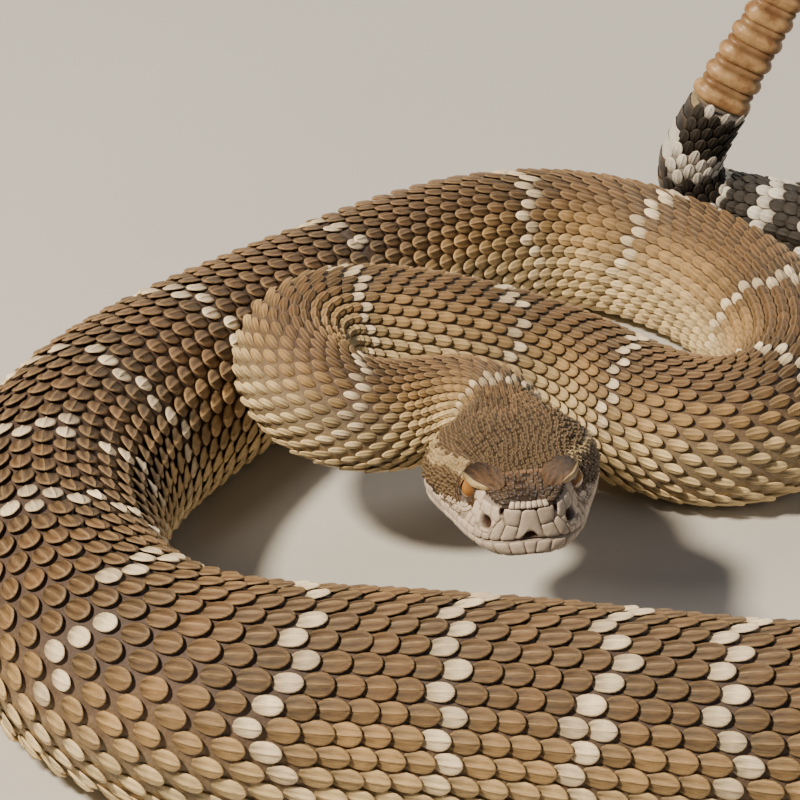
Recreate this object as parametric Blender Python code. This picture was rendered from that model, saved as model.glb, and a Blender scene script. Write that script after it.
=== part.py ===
"""Western diamondback rattlesnake, resting in a loose coil with its head raised and its rattle held up.

Metres, +Z up. The floor is z = 0, and the origin is on it under the middle of the model.
The snout points to -Y, towards the viewer, and the rattle stands at the back on the right.
"""
import math

import bmesh
import bpy
import numpy as np
from mathutils import Matrix, Vector

MM = 0.001

# The spine's route, as control points of a smooth curve from the back of the head to the rattle:
# x, y, how far the belly is off the floor, and half the body's width, all in millimetres
ROUTE = (
    (-18.7, -20.6, 26.6, 8.6), (-19.5, -12.4, 25.6, 9.0), (-26.4, -7.2, 23.7, 9.5),
    (-34.8, -6.8, 21.3, 10.1), (-42.6, -9.3, 20.6, 10.6), (-51.0, -8.2, 22.1, 11.0),
    (-57.4, -1.8, 24.1, 11.3), (-58.3, 7.4, 25.1, 11.7), (-53.1, 15.1, 24.4, 12.1),
    (-43.9, 18.7, 22.1, 12.7), (-33.0, 20.4, 18.7, 13.2), (-20.6, 23.4, 13.2, 13.6),
    (-6.0, 25.2, 6.6, 13.9), (6.5, 20.4, 1.4, 14.1), (20.0, 13.4, 0.0, 14.2),
    (33.2, 16.6, 0.0, 14.3), (40.2, 30.0, 0.0, 14.4), (39.4, 50.0, 0.0, 14.2),
    (30.2, 73.0, 0.0, 13.7), (12.0, 91.5, 0.0, 13.5), (-9.0, 97.3, 0.0, 13.8),
    (-31.5, 87.2, 0.0, 14.7), (-52.5, 63.0, 0.0, 16.3), (-71.5, 37.8, 0.0, 18.5),
    (-88.1, 14.5, 0.0, 20.2), (-101.6, -12.2, 0.0, 21.3), (-104.5, -44.7, 0.0, 21.6),
    (-92.7, -75.6, 0.0, 21.6), (-71.0, -91.1, 0.0, 21.6), (-44.8, -93.0, 0.0, 21.6),
    (-15.2, -96.8, 0.0, 21.6), (15.7, -102.4, 0.0, 21.4), (46.6, -105.2, 0.0, 21.0),
    (88.0, -85.0, 0.0, 19.8), (107.8, -47.0, 0.0, 17.8), (108.8, -3.0, 0.0, 15.4),
    (98.2, 39.0, 0.0, 13.0), (80.2, 75.0, 0.0, 10.9), (58.2, 99.0, 0.0, 9.5),
    (41.2, 112.0, 0.0, 8.6), (32.0, 116.4, 0.8, 7.9), (27.0, 116.8, 2.4, 7.6),
    (23.3, 116.8, 6.4, 7.2), (22.0, 116.8, 11.8, 6.9), (23.2, 116.8, 16.7, 6.6),
    (25.6, 116.8, 22.0, 6.4), (28.2, 116.8, 27.4, 6.2),
)
SPANS = 24                   # samples of the curve between two control points
BELLY = 0.93                 # the flat belly lies this share of the half width below the spine
RIDGE = 0.04                 # the back's ridge stands this share of the half width proud
RIDGE_POWER = 4              # how narrow that ridge is
SIDES = 20
GAP = 0.3 * MM               # between one length and the next
FLAT = 0.25 * MM             # a belly this near the floor lies flat on it

# The lengths that the body is named by, each with its end along the spine and the step of its rings
LENGTHS = (
    ("neck", 36 * MM, 3.4 * MM),
    ("neck_loop", 80 * MM, 3.4 * MM),
    ("body_1", 146 * MM, 5.5 * MM),
    ("body_2", 205 * MM, 5.2 * MM),
    ("body_3", 280 * MM, 6.2 * MM),
    ("body_4", 370 * MM, 6.6 * MM),
    ("body_5", 448 * MM, 6.4 * MM),
    ("body_6", 525 * MM, 6.4 * MM),
    ("body_7", 620 * MM, 6.8 * MM),
    ("body_8", 700 * MM, 6.6 * MM),
    ("body_9", 780 * MM, 6.6 * MM),
    ("body_10", 848 * MM, 6.2 * MM),
    ("tail", None, 3.6 * MM),
)

# The head, in its own frame: X to the snout, Y to its left, Z up, from the middle of the neck's end
HEAD_LENGTH = 42 * MM
HEAD_YAW = math.radians(5.6)
HEAD_PITCH = math.radians(4)
HEAD_ROLL = math.radians(2.4)
# Distance from the neck, half width at the lips, half width of the crown, top, crown's edge,
# mouth line and underside, in millimetres
STATIONS = (
    (0.15, 8.5, 5.6, 8.7, 6.6, -2.6, -7.9),
    (2.2, 9.1, 6.3, 8.7, 6.5, -2.8, -7.9),
    (4.6, 11.3, 8.0, 8.8, 6.4, -3.2, -8.0),
    (7.0, 13.9, 9.8, 8.9, 6.4, -3.6, -8.1),
    (9.2, 15.3, 10.9, 9.0, 6.5, -3.9, -8.1),
    (11.4, 15.8, 11.3, 9.1, 6.6, -4.0, -8.0),
    (14.0, 15.7, 11.2, 9.1, 6.8, -3.9, -7.8),
    (17.0, 15.1, 10.7, 9.0, 7.0, -3.7, -7.5),
    (20.0, 14.4, 10.0, 8.8, 7.1, -3.4, -7.2),
    (23.0, 13.6, 9.3, 8.6, 7.2, -3.1, -6.9),
    (25.6, 12.9, 8.8, 8.4, 7.3, -2.8, -6.6),
    (28.0, 12.3, 8.4, 8.2, 7.3, -2.6, -6.4),
    (30.4, 11.7, 8.1, 8.0, 7.3, -2.4, -6.1),
    (32.6, 11.1, 7.7, 7.8, 7.2, -2.2, -5.9),
    (34.8, 10.4, 7.2, 7.6, 7.0, -2.0, -5.7),
    (37.0, 9.5, 6.6, 7.4, 6.8, -1.7, -5.4),
    (38.8, 8.5, 5.9, 7.2, 6.5, -1.4, -5.1),
    (40.2, 7.4, 5.1, 6.9, 6.2, -1.1, -4.8),
    (41.2, 5.9, 4.1, 6.5, 5.8, -0.9, -4.4),
    (41.8, 3.8, 2.7, 6.0, 5.3, -0.8, -4.1),
    (42.0, 1.4, 1.0, 5.6, 5.0, -0.8, -3.9),
)
# The head's section: on the crown, shares of its half width and drops in millimetres
CROWN_ROUND = ((0.36, 0.10), (0.72, 0.40))
# On the cheek, shares of the way out to the lips and of the height from the mouth to the crown's
# edge: full over the jaw, hollow beside the snout, and changing over this stretch
JOWL = ((0.50, 0.84), (0.92, 0.56), (1.06, 0.26))
SNOUT_SIDE = ((0.36, 0.78), (0.62, 0.50), (0.93, 0.24))
JOWL_END, SNOUT_START = 23.0, 35.0
# On the lower jaw, shares of the lips' half width and of the way down to the underside
JAW = ((0.95, 0.42), (0.76, 0.80), (0.42, 1.0))
CHIN_HOLLOW = 0.12 * MM      # the middle of the chin lies this much higher than its sides
MOUTH_FROM = 12 * MM         # the line of the mouth starts this far from the neck
GROOVE = 0.7 * MM            # depth of the mouth's line between the lips
FAINT = 0.15                 # behind its corner the line is this share of its depth
SNOUT_HALF = 3 * MM          # where the head is narrower than this, the line is cut from the front
LIP = 0.42 * MM              # height of each lip's edge from that line
LOWER_LIP_IN = 0.12 * MM     # the lower lip lies this far inside the upper one
EYE = Vector((29.8, 8.9, 4.6)) * MM
EYE_RADIUS = 2.6 * MM
SOCKET_GAP = 0.3 * MM
BROW = Vector((31.8, 6.8, 7.5)) * MM
BROW_SIZE = Vector((11.0, 6.0, 2.0)) * MM
BROW_TOE_IN = math.radians(20)
BROW_SLANT = math.radians(9)
PIT = Vector((38.7, 7.7, 1.95)) * MM
PIT_SIZE = Vector((1.5, 1.2, 0.95)) * MM
NOSTRIL = Vector((41.0, 5.0, 4.7)) * MM
NOSTRIL_RADIUS = 0.75 * MM
CREASE = math.radians(38)    # edges sharper than this stay crisp

# The rattle: loosely interlocked rings, each a pair of lobes, tapering to the button
RATTLE_RINGS = 8
RING_PITCH = 5.1 * MM
RING_HEIGHT = 6.6 * MM       # half the first ring's height
RING_THICK = 4.2 * MM        # half the first ring's thickness
RING_TAPER = 0.955
RATTLE_SIDES = 18
LOBE_GROOVE = 0.16           # depth of the groove along each side, as a share of the thickness
# Along one ring, from its root to its lip: share of the pitch, share of the ring's size
RING_PROFILE = ((0.0, 0.76), (0.16, 0.97), (0.42, 1.0), (0.66, 0.86), (0.86, 0.90), (0.93, 0.78))
BUTTON_LENGTH = 4.2 * MM
# Along the button: share of its length, share of the size that a ring would have there
BUTTON_PROFILE = ((0.0, 0.72), (0.25, 0.84), (0.6, 0.78), (0.85, 0.52), (1.0, 0.2))

COLOURS = {
    "skin": (0.30, 0.19, 0.105),
    "eye": (0.55, 0.24, 0.05),
    "tail": (0.42, 0.40, 0.37),
    "rattle": (0.50, 0.30, 0.14),
}


def clear_scene():
    for item in list(bpy.data.objects):
        bpy.data.objects.remove(item, do_unlink=True)


def principled(name, colour, roughness):
    material = bpy.data.materials.new(name)
    material.use_nodes = True
    shader = material.node_tree.nodes["Principled BSDF"]
    shader.inputs["Base Color"].default_value = (*colour, 1.0)
    shader.inputs["Roughness"].default_value = roughness
    shader.inputs["Metallic"].default_value = 0.0
    return material


def add_object(name, rings, material):
    """A closed body lofted through rings of points, which run anticlockwise seen from ahead."""
    mesh = bmesh.new()
    rows = [[mesh.verts.new(point) for point in ring] for ring in rings]
    for near, far in zip(rows, rows[1:]):
        for index in range(len(near)):
            after = (index + 1) % len(near)
            mesh.faces.new((near[index], near[after], far[after], far[index]))
    mesh.faces.new(list(reversed(rows[0])))
    mesh.faces.new(rows[-1])
    return finish_object(name, mesh, material)


def finish_object(name, mesh, material):
    bmesh.ops.recalc_face_normals(mesh, faces=mesh.faces)
    data = bpy.data.meshes.new(name)
    mesh.to_mesh(data)
    mesh.free()
    data.shade_smooth()
    data.materials.append(material)
    item = bpy.data.objects.new(name, data)
    bpy.context.collection.objects.link(item)
    return item


def curve_through(points, spans):
    """Samples of the uniform cubic B-spline that the points control, from the first to the last."""
    points = np.array(points, dtype=float)
    padded = np.vstack([2 * points[0] - points[1], points, 2 * points[-1] - points[-2]])
    samples = []
    for start in range(len(padded) - 3):
        for step in range(spans):
            t = step / spans
            weights = np.array([
                (1 - t) ** 3,
                3 * t**3 - 6 * t**2 + 4,
                -3 * t**3 + 3 * t**2 + 3 * t + 1,
                t**3,
            ])
            samples.append(weights @ padded[start:start + 4] / 6)
    samples.append((padded[-3] + 4 * padded[-2] + padded[-1]) / 6)
    return np.array(samples)


class Spine:
    """The body's middle line, with its half width and a frame whose second axis is the back."""

    def __init__(self, route):
        points = [(x, y, lift + BELLY * half, half) for x, y, lift, half in route]
        samples = curve_through(points, SPANS) * MM
        self.middle = samples[:, :3]
        self.half = samples[:, 3]
        steps = np.linalg.norm(np.diff(self.middle, axis=0), axis=1)
        self.along = np.concatenate([[0.0], np.cumsum(steps)])
        self.length = self.along[-1]
        heading = np.gradient(self.middle, axis=0)
        self.heading = heading / np.linalg.norm(heading, axis=1)[:, None]
        self.back = self.carried_back()

    def carried_back(self):
        """The back's direction, kept upwards where the body lies and carried along where it rises."""
        sky = np.array([0.0, 0.0, 1.0])
        back = sky
        result = []
        for heading in self.heading:
            if abs(heading[2]) < 0.5:
                back = sky
            back = back - heading * (back @ heading)
            back = back / np.linalg.norm(back)
            result.append(back)
        return np.array(result)

    def at(self, along):
        def pick(values):
            return np.array([np.interp(along, self.along, values[:, axis]) for axis in range(3)])
        heading = pick(self.heading)
        heading /= np.linalg.norm(heading)
        back = pick(self.back)
        back -= heading * (back @ heading)
        back /= np.linalg.norm(back)
        half = float(np.interp(along, self.along, self.half))
        return pick(self.middle), heading, back, half


def body_ring(spine, along):
    middle, heading, back, half = spine.at(along)
    side = np.cross(heading, back)
    ring = []
    for index in range(SIDES):
        angle = 2 * math.pi * (index + 0.5) / SIDES
        up = math.cos(angle)
        height = max(up * (1 + RIDGE * max(up, 0.0) ** RIDGE_POWER), -BELLY)
        point = middle + half * (math.sin(angle) * side + height * back)
        if point[2] < FLAT:
            point[2] = 0.0
        ring.append(Vector(point))
    return ring


def make_body(spine, skin, tail_skin):
    start = 0.0
    for name, end, step in LENGTHS:
        end = spine.length if end is None else end
        first = start + GAP / 2
        last = end - GAP / 2
        count = max(2, round((last - first) / step))
        rings = [body_ring(spine, first + (last - first) * index / count) for index in range(count + 1)]
        add_object(name, rings, tail_skin if name == "tail" else skin)
        start = end


def cheek_at(distance):
    share = min(max((distance - JOWL_END) / (SNOUT_START - JOWL_END), 0.0), 1.0)
    return np.array(JOWL) * (1 - share) + np.array(SNOUT_SIDE) * share


def head_row(station):
    """The left half of one section of the head, from the middle of the crown to the middle of the chin."""
    x, lips, crown, top, edge, mouth, under = [value * MM for value in station]
    in_mouth = x > MOUTH_FROM
    groove = min(GROOVE if in_mouth else FAINT * GROOVE, lips / 2)
    half_lip = LIP if in_mouth else 1.6 * LIP
    front = groove if lips < SNOUT_HALF else 0.0
    row = [(x, 0.0, top)]
    row += [(x, share * crown, top - drop * MM) for share, drop in CROWN_ROUND]
    row.append((x, crown, edge))
    cheek = cheek_at(station[0])
    row += [(x, crown + out * (lips - crown), mouth + up * (edge - mouth)) for out, up in cheek]
    row.append((x, lips, mouth + half_lip))
    row.append((x - front, lips - groove, mouth))
    row.append((x, lips - LOWER_LIP_IN, mouth - half_lip))
    row += [(x, share * lips, mouth + down * (under - mouth)) for share, down in JAW]
    row.append((x, 0.0, under + CHIN_HOLLOW))
    return row


def head_ring(station):
    left = head_row(station)
    right = [(x, -y, z) for x, y, z in reversed(left[1:-1])]
    return [Vector(point) for point in left + right]


def head_shell(skin):
    """The loft of the head, closed at the snout by a strip between its two halves."""
    rings = [head_ring(station) for station in STATIONS]
    mesh = bmesh.new()
    rows = [[mesh.verts.new(point) for point in ring] for ring in rings]
    count = len(rows[0])
    for near, far in zip(rows, rows[1:]):
        for index in range(count):
            after = (index + 1) % count
            mesh.faces.new((near[index], near[after], far[after], far[index]))
    mesh.faces.new(list(reversed(rows[0])))
    tip = rows[-1]
    half = count // 2
    mesh.faces.new((tip[0], tip[1], tip[count - 1]))
    for index in range(1, half - 1):
        mesh.faces.new((tip[index], tip[index + 1], tip[count - index - 1], tip[count - index]))
    mesh.faces.new((tip[half - 1], tip[half], tip[half + 1]))
    return finish_object("head", mesh, skin)


def ellipsoid(name, material, middle, size, turn, segments, rings):
    mesh = bmesh.new()
    place = Matrix.Translation(middle) @ turn @ Matrix.Diagonal((*(value / 2 for value in size), 1.0))
    bmesh.ops.create_uvsphere(mesh, u_segments=segments, v_segments=rings, radius=1.0, matrix=place)
    return finish_object(name, mesh, material)


def apply_boolean(item, tools, operation):
    """Joins or cuts the item with closed tools, which are removed afterwards."""
    group = bpy.data.collections.new("tools")
    for tool in tools:
        for owner in list(tool.users_collection):
            owner.objects.unlink(tool)
        group.objects.link(tool)
    bpy.context.scene.collection.children.link(group)
    modifier = item.modifiers.new("boolean", "BOOLEAN")
    modifier.operand_type = "COLLECTION"
    modifier.collection = group
    modifier.operation = operation
    modifier.solver = "EXACT"
    graph = bpy.context.evaluated_depsgraph_get()
    data = bpy.data.meshes.new_from_object(item.evaluated_get(graph))
    item.modifiers.clear()
    item.data = data
    data.shade_smooth()
    data.set_sharp_from_angle(angle=CREASE)
    for tool in tools:
        bpy.data.objects.remove(tool, do_unlink=True)
    bpy.data.collections.remove(group)


def mirrored(vector, side):
    return Vector((vector.x, vector.y * side, vector.z))


def make_head(spine, skin, eye_finish):
    """The head with its brow plates, sockets, pits and nostrils, and the two eyes."""
    head = head_shell(skin)
    level = Matrix.Identity(4)
    brows = []
    hollows = []
    eyes = []
    for name, side in (("left", 1), ("right", -1)):
        turn = Matrix.Rotation(-BROW_TOE_IN * side, 4, "Z") @ Matrix.Rotation(-BROW_SLANT * side, 4, "X")
        brows.append(ellipsoid("brow", skin, mirrored(BROW, side), BROW_SIZE, turn, 14, 8))
        eye = mirrored(EYE, side)
        socket = [2 * (EYE_RADIUS + SOCKET_GAP)] * 3
        nostril = [2 * NOSTRIL_RADIUS] * 3
        hollows.append(ellipsoid("socket", skin, eye, socket, level, 16, 10))
        hollows.append(ellipsoid("pit", skin, mirrored(PIT, side), PIT_SIZE * 2, level, 10, 7))
        hollows.append(ellipsoid("nostril", skin, mirrored(NOSTRIL, side), nostril, level, 8, 6))
        eyes.append(ellipsoid("eye_" + name, eye_finish, eye, [2 * EYE_RADIUS] * 3, level, 16, 10))
    apply_boolean(head, brows, "UNION")
    apply_boolean(head, hollows, "DIFFERENCE")
    frame = head_frame(spine)
    for item in [head] + eyes:
        item.matrix_world = frame


def head_frame(spine):
    """Places the head's own frame on the neck: X of the head looks to -Y of the model."""
    middle = spine.middle[0]
    facing = Matrix.Rotation(-math.pi / 2 + HEAD_YAW, 4, "Z")
    return (Matrix.Translation(Vector(middle)) @ facing
            @ Matrix.Rotation(-HEAD_PITCH, 4, "Y") @ Matrix.Rotation(HEAD_ROLL, 4, "X"))


def rattle_ring(place, size):
    """One section of the rattle: taller than thick, with a groove along the middle of each side."""
    ring = []
    for index in range(RATTLE_SIDES):
        angle = 2 * math.pi * index / RATTLE_SIDES
        groove = 1 - LOBE_GROOVE * abs(math.sin(angle)) ** 6
        across = RING_THICK * size * groove * math.sin(angle)
        tall = RING_HEIGHT * size * math.copysign(abs(math.cos(angle)) ** 0.85, math.cos(angle))
        ring.append(place @ Vector((0.0, across, tall)))
    return ring


def make_rattle(spine, finish):
    middle, heading, back, _ = spine.at(spine.length)
    side = np.cross(back, heading)
    frame = Matrix.Translation(Vector(middle)) @ Matrix((heading, side, back)).transposed().to_4x4()
    rings = []
    for number in range(RATTLE_RINGS):
        size = RING_TAPER ** number
        start = GAP / 2 + number * RING_PITCH
        for share, swell in RING_PROFILE:
            place = frame @ Matrix.Translation((start + share * RING_PITCH, 0.0, 0.0))
            rings.append(rattle_ring(place, size * swell))
    start = GAP / 2 + RATTLE_RINGS * RING_PITCH
    size = RING_TAPER ** RATTLE_RINGS
    for share, swell in BUTTON_PROFILE:
        place = frame @ Matrix.Translation((start + share * BUTTON_LENGTH, 0.0, 0.0))
        rings.append(rattle_ring(place, size * swell))
    add_object("rattle", rings, finish)


def main():
    clear_scene()
    skin = principled("skin", COLOURS["skin"], 0.6)
    tail_skin = principled("tail_skin", COLOURS["tail"], 0.6)
    eye_finish = principled("eye", COLOURS["eye"], 0.15)
    horn = principled("rattle_horn", COLOURS["rattle"], 0.45)
    spine = Spine(ROUTE)
    make_body(spine, skin, tail_skin)
    make_head(spine, skin, eye_finish)
    make_rattle(spine, horn)


main()
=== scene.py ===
"""The looks of a life-size western diamondback rattlesnake: skin, scales, plates, eyes and rattle."""
import functools
import math

import bpy
import numpy as np
from bpy.props import FloatProperty, FloatVectorProperty, IntProperty, PointerProperty
from mathutils import Matrix, Vector
from mathutils.bvhtree import BVHTree
from mathutils.kdtree import KDTree


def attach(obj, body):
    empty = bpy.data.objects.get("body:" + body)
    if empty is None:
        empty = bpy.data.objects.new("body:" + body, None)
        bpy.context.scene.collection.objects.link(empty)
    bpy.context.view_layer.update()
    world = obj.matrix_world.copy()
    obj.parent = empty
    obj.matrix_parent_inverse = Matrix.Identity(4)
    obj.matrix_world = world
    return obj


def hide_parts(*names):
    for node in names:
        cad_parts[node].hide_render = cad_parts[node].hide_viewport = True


bl_info = {
    "name": "Western diamondback rattlesnake",
    "version": (1, 0, 0),
    "blender": (4, 5, 0),
    "location": "View3D > Sidebar > Rattlesnake",
    "description": "Skin, scales, head plates, eyes and rattle on the fixed solids of a resting snake",
    "category": "Object",
}

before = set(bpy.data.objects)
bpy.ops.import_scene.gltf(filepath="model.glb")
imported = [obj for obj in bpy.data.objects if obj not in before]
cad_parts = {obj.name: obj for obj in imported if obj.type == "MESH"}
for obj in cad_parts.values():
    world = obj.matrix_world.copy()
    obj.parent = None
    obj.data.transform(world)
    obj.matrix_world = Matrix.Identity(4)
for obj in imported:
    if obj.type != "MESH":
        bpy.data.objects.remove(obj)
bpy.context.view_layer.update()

MM = 0.001
ROOT = "root"
SEED = 7

# The spine's route from the back of the head to the rattle, as control points of a smooth curve:
# x, y, how far the belly is off the floor, and half the body's width, all in millimetres
ROUTE = (
    (-18.7, -20.6, 26.6, 8.6), (-19.5, -12.4, 25.6, 9.0), (-26.4, -7.2, 23.7, 9.5),
    (-34.8, -6.8, 21.3, 10.1), (-42.6, -9.3, 20.6, 10.6), (-51.0, -8.2, 22.1, 11.0),
    (-57.4, -1.8, 24.1, 11.3), (-58.3, 7.4, 25.1, 11.7), (-53.1, 15.1, 24.4, 12.1),
    (-43.9, 18.7, 22.1, 12.7), (-33.0, 20.4, 18.7, 13.2), (-20.6, 23.4, 13.2, 13.6),
    (-6.0, 25.2, 6.6, 13.9), (6.5, 20.4, 1.4, 14.1), (20.0, 13.4, 0.0, 14.2),
    (33.2, 16.6, 0.0, 14.3), (40.2, 30.0, 0.0, 14.4), (39.4, 50.0, 0.0, 14.2),
    (30.2, 73.0, 0.0, 13.7), (12.0, 91.5, 0.0, 13.5), (-9.0, 97.3, 0.0, 13.8),
    (-31.5, 87.2, 0.0, 14.7), (-52.5, 63.0, 0.0, 16.3), (-71.5, 37.8, 0.0, 18.5),
    (-88.1, 14.5, 0.0, 20.2), (-101.6, -12.2, 0.0, 21.3), (-104.5, -44.7, 0.0, 21.6),
    (-92.7, -75.6, 0.0, 21.6), (-71.0, -91.1, 0.0, 21.6), (-44.8, -93.0, 0.0, 21.6),
    (-15.2, -96.8, 0.0, 21.6), (15.7, -102.4, 0.0, 21.4), (46.6, -105.2, 0.0, 21.0),
    (88.0, -85.0, 0.0, 19.8), (107.8, -47.0, 0.0, 17.8), (108.8, -3.0, 0.0, 15.4),
    (98.2, 39.0, 0.0, 13.0), (80.2, 75.0, 0.0, 10.9), (58.2, 99.0, 0.0, 9.5),
    (41.2, 112.0, 0.0, 8.6), (32.0, 116.4, 0.8, 7.9), (27.0, 116.8, 2.4, 7.6),
    (23.3, 116.8, 6.4, 7.2), (22.0, 116.8, 11.8, 6.9), (23.2, 116.8, 16.7, 6.6),
    (25.6, 116.8, 22.0, 6.4), (28.2, 116.8, 27.4, 6.2),
)
SPANS = 24  # samples of the curve between two control points
BELLY = 0.93  # the flat belly lies this share of the half width below the spine
BELLY_ROUND = 0.05  # how softly the side turns into the belly
RIDGE = 0.04  # the back's ridge stands this share of the half width proud
RIDGE_POWER = 4
VENT = 848 * MM  # the tail starts here along the spine

# The head, in its own frame: X to the snout, Y to its left, Z up, from the middle of the neck's end
HEAD_YAW = math.radians(5.6)
HEAD_PITCH = math.radians(4)
HEAD_ROLL = math.radians(2.4)
# Distance from the neck, half width at the lips, half width of the crown, top, crown's edge,
# mouth line and underside, in millimetres
STATIONS = (
    (0.0, 8.5, 5.6, 8.7, 6.6, -2.6, -7.9),
    (2.2, 9.1, 6.3, 8.7, 6.5, -2.8, -7.9),
    (4.6, 11.3, 8.0, 8.8, 6.4, -3.2, -8.0),
    (7.0, 13.9, 9.8, 8.9, 6.4, -3.6, -8.1),
    (9.2, 15.3, 10.9, 9.0, 6.5, -3.9, -8.1),
    (11.4, 15.8, 11.3, 9.1, 6.6, -4.0, -8.0),
    (14.0, 15.7, 11.2, 9.1, 6.8, -3.9, -7.8),
    (17.0, 15.1, 10.7, 9.0, 7.0, -3.7, -7.5),
    (20.0, 14.4, 10.0, 8.8, 7.1, -3.4, -7.2),
    (23.0, 13.6, 9.3, 8.6, 7.2, -3.1, -6.9),
    (25.6, 12.9, 8.8, 8.4, 7.3, -2.8, -6.6),
    (28.0, 12.3, 8.4, 8.2, 7.3, -2.6, -6.4),
    (30.4, 11.7, 8.1, 8.0, 7.3, -2.4, -6.1),
    (32.6, 11.1, 7.7, 7.8, 7.2, -2.2, -5.9),
    (34.8, 10.4, 7.2, 7.6, 7.0, -2.0, -5.7),
    (37.0, 9.5, 6.6, 7.4, 6.8, -1.7, -5.4),
    (38.8, 8.5, 5.9, 7.2, 6.5, -1.4, -5.1),
    (40.2, 7.4, 5.1, 6.9, 6.2, -1.1, -4.8),
    (41.2, 5.9, 4.1, 6.5, 5.8, -0.9, -4.4),
    (41.8, 3.8, 2.7, 6.0, 5.3, -0.8, -4.1),
    (42.0, 1.4, 1.0, 5.6, 5.0, -0.8, -3.9),
)
# The head's section: on the crown, shares of its half width and drops in millimetres
CROWN_ROUND = ((0.36, 0.10), (0.72, 0.40))
# On the cheek, shares of the way out to the lips and of the height from the mouth to the crown's
# edge: full over the jaw, hollow beside the snout, and changing over this stretch
JOWL = ((0.50, 0.84), (0.92, 0.56), (1.06, 0.26))
SNOUT_SIDE = ((0.36, 0.78), (0.62, 0.50), (0.93, 0.24))
JOWL_END, SNOUT_START = 23.0, 35.0
LIP = 0.42  # height of each lip's edge from the mouth's line, in millimetres
LOWER_LIP_IN = 0.12  # the lower lip lies this far inside the upper one, in millimetres
# On the lower jaw, shares of the lips' half width and of the way down to the underside
JAW = ((0.95, 0.42), (0.76, 0.80), (0.42, 1.0))
CHIN_HOLLOW = 0.12
# How many strips of skin lie between one line of that section and the next, from crown to chin
STRIPS = (6, 6, 6, 6, 7, 6, 4, 3, 3, 6, 5, 4, 2)
MOUTH_LINE = 8  # the numbers of two of those lines
CHIN_LINE = 13
UPPER_LIP_LINE, LOWER_LIP_LINE = 6.7, 9.3  # the lips are fullest here
LIP_SWELL = 0.16 * MM
CHIN_GROOVE = 0.35 * MM
AROUND = 2 * sum(STRIPS)  # points of skin around the body and the head
HEAD_STEP = 0.33 * MM  # from one ring of skin to the next on the head
BODY_STEP = 1.9 * MM
NECK_BLEND = 16 * MM  # over this length the skin's spacing turns from the head's to the body's
HEAD_COAT = 0.30 * MM  # the head's skin lies this far inside the solid
MOUTH_FROM = 12 * MM  # the mouth's line opens this far from the neck
MOUTH_DEPTH = 0.85 * MM
EYE = Vector((29.8, 8.9, 4.6)) * MM
EYE_RADIUS = 2.6 * MM
BROW = Vector((31.8, 6.8, 7.5)) * MM
PIT = Vector((38.7, 7.7, 1.95)) * MM
PIT_SIZE = Vector((1.35, 1.5, 1.05)) * MM
PIT_DEPTH = 2.0 * MM
NOSTRIL = Vector((41.0, 5.0, 4.7)) * MM
NOSTRIL_RADIUS = 0.75 * MM
NOSTRIL_DEPTH = 1.1 * MM
# The dent of the upper lip in front, for the tongue
NOTCH = Vector((42.0, 0.0, 0.1)) * MM
NOTCH_SIZE = Vector((1.6, 1.9, 0.95)) * MM
NOTCH_DEPTH = 0.9 * MM

# The scales of the body
SIDE_EDGE = math.radians(138)  # the belly's scutes start this far round from the back
# Rows of scales over the back, each with where it starts along the spine
ROWS = ((-3 * MM, 27), (316 * MM, 25), (690 * MM, 23), (755 * MM, 21), (805 * MM, 19), (VENT, 15))
TEMPLATE_SCALES = 1100  # at most this many scales in one piece
# From one scale to the next of its row, at places along the spine, in millimetres
PITCHES = ((0, 2.9), (30, 3.0), (70, 3.2), (110, 3.4), (160, 3.7), (220, 4.1), (300, 4.6),
           (420, 5.1), (600, 5.3), (700, 4.9), (780, 4.3), (848, 3.8), (925, 2.9))
# Places of the pale crossbars along the spine
CROSSBARS = (4, 37, 70, 101.5, 128, 164, 196, 237, 268, 316, 364, 397, 426, 453, 483, 514,
             541, 567, 590, 616, 642, 668, 694, 720, 746, 771, 796, 821)
# Rings of the tail: where each dark ring starts and ends along the spine
TAIL_RINGS = ((856, 864), (870, 879), (884, 893), (898, 907), (912, 922))

# One scale, from its hidden root to its tip: share of its length, of its half width, height of its
# top and of its underside as shares of its thickness
LEAF = (
    (0.00, 0.30, -0.25, -0.60),
    (0.10, 0.62, 0.10, -0.54),
    (0.24, 0.87, 0.48, -0.42),
    (0.40, 0.98, 0.74, -0.26),
    (0.58, 1.00, 0.90, -0.08),
    (0.74, 0.92, 0.99, 0.08),
    (0.87, 0.72, 1.02, 0.22),
    (0.96, 0.42, 0.96, 0.34),
    (1.00, 0.15, 0.78, 0.42),
)
# The same for one of the head's grains, which is domed
GRAIN = (
    (0.00, 0.34, -0.35, -0.70),
    (0.12, 0.70, 0.35, -0.60),
    (0.30, 0.95, 0.88, -0.50),
    (0.50, 1.00, 1.02, -0.40),
    (0.70, 0.92, 0.92, -0.36),
    (0.86, 0.66, 0.52, -0.34),
    (0.96, 0.36, 0.06, -0.40),
    (1.00, 0.14, -0.28, -0.55),
)
# Across one scale: share of its half width and of its rise from the rim
LEAF_ACROSS = ((-1.0, 0.0), (-0.88, 0.50), (-0.52, 0.86), (-0.09, 1.0), (0.0, 1.0),
               (0.09, 1.0), (0.52, 0.86), (0.88, 0.50), (1.0, 0.0))
KEEL_FROM = 0.10  # the keel starts this share of the length from the root
GRAIN_KEEL = 0.44  # height of a grain's keel as a share of its thickness
BODY_UNEVEN = 0.06  # sizes of the body's scales differ by up to this share
HEAD_UNEVEN = 0.12
SCALE_LONG = 1.22  # length of a scale as a share of the pitch
SCALE_DEPTH = 0.92  # thickness of a scale as a share of the coat's depth
SCALE_RAISED = 0.06  # its root stands this share of its thickness over the skin
NECK_PITCH = 2.6 * MM  # the pitch of the scales that lie before the spine's start
BEND_LIFT = math.radians(6)  # so much more a tip is lifted inside a tight bend
FLOOR_GAP = 0.05 * MM  # nothing of the skin comes nearer to the floor


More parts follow.
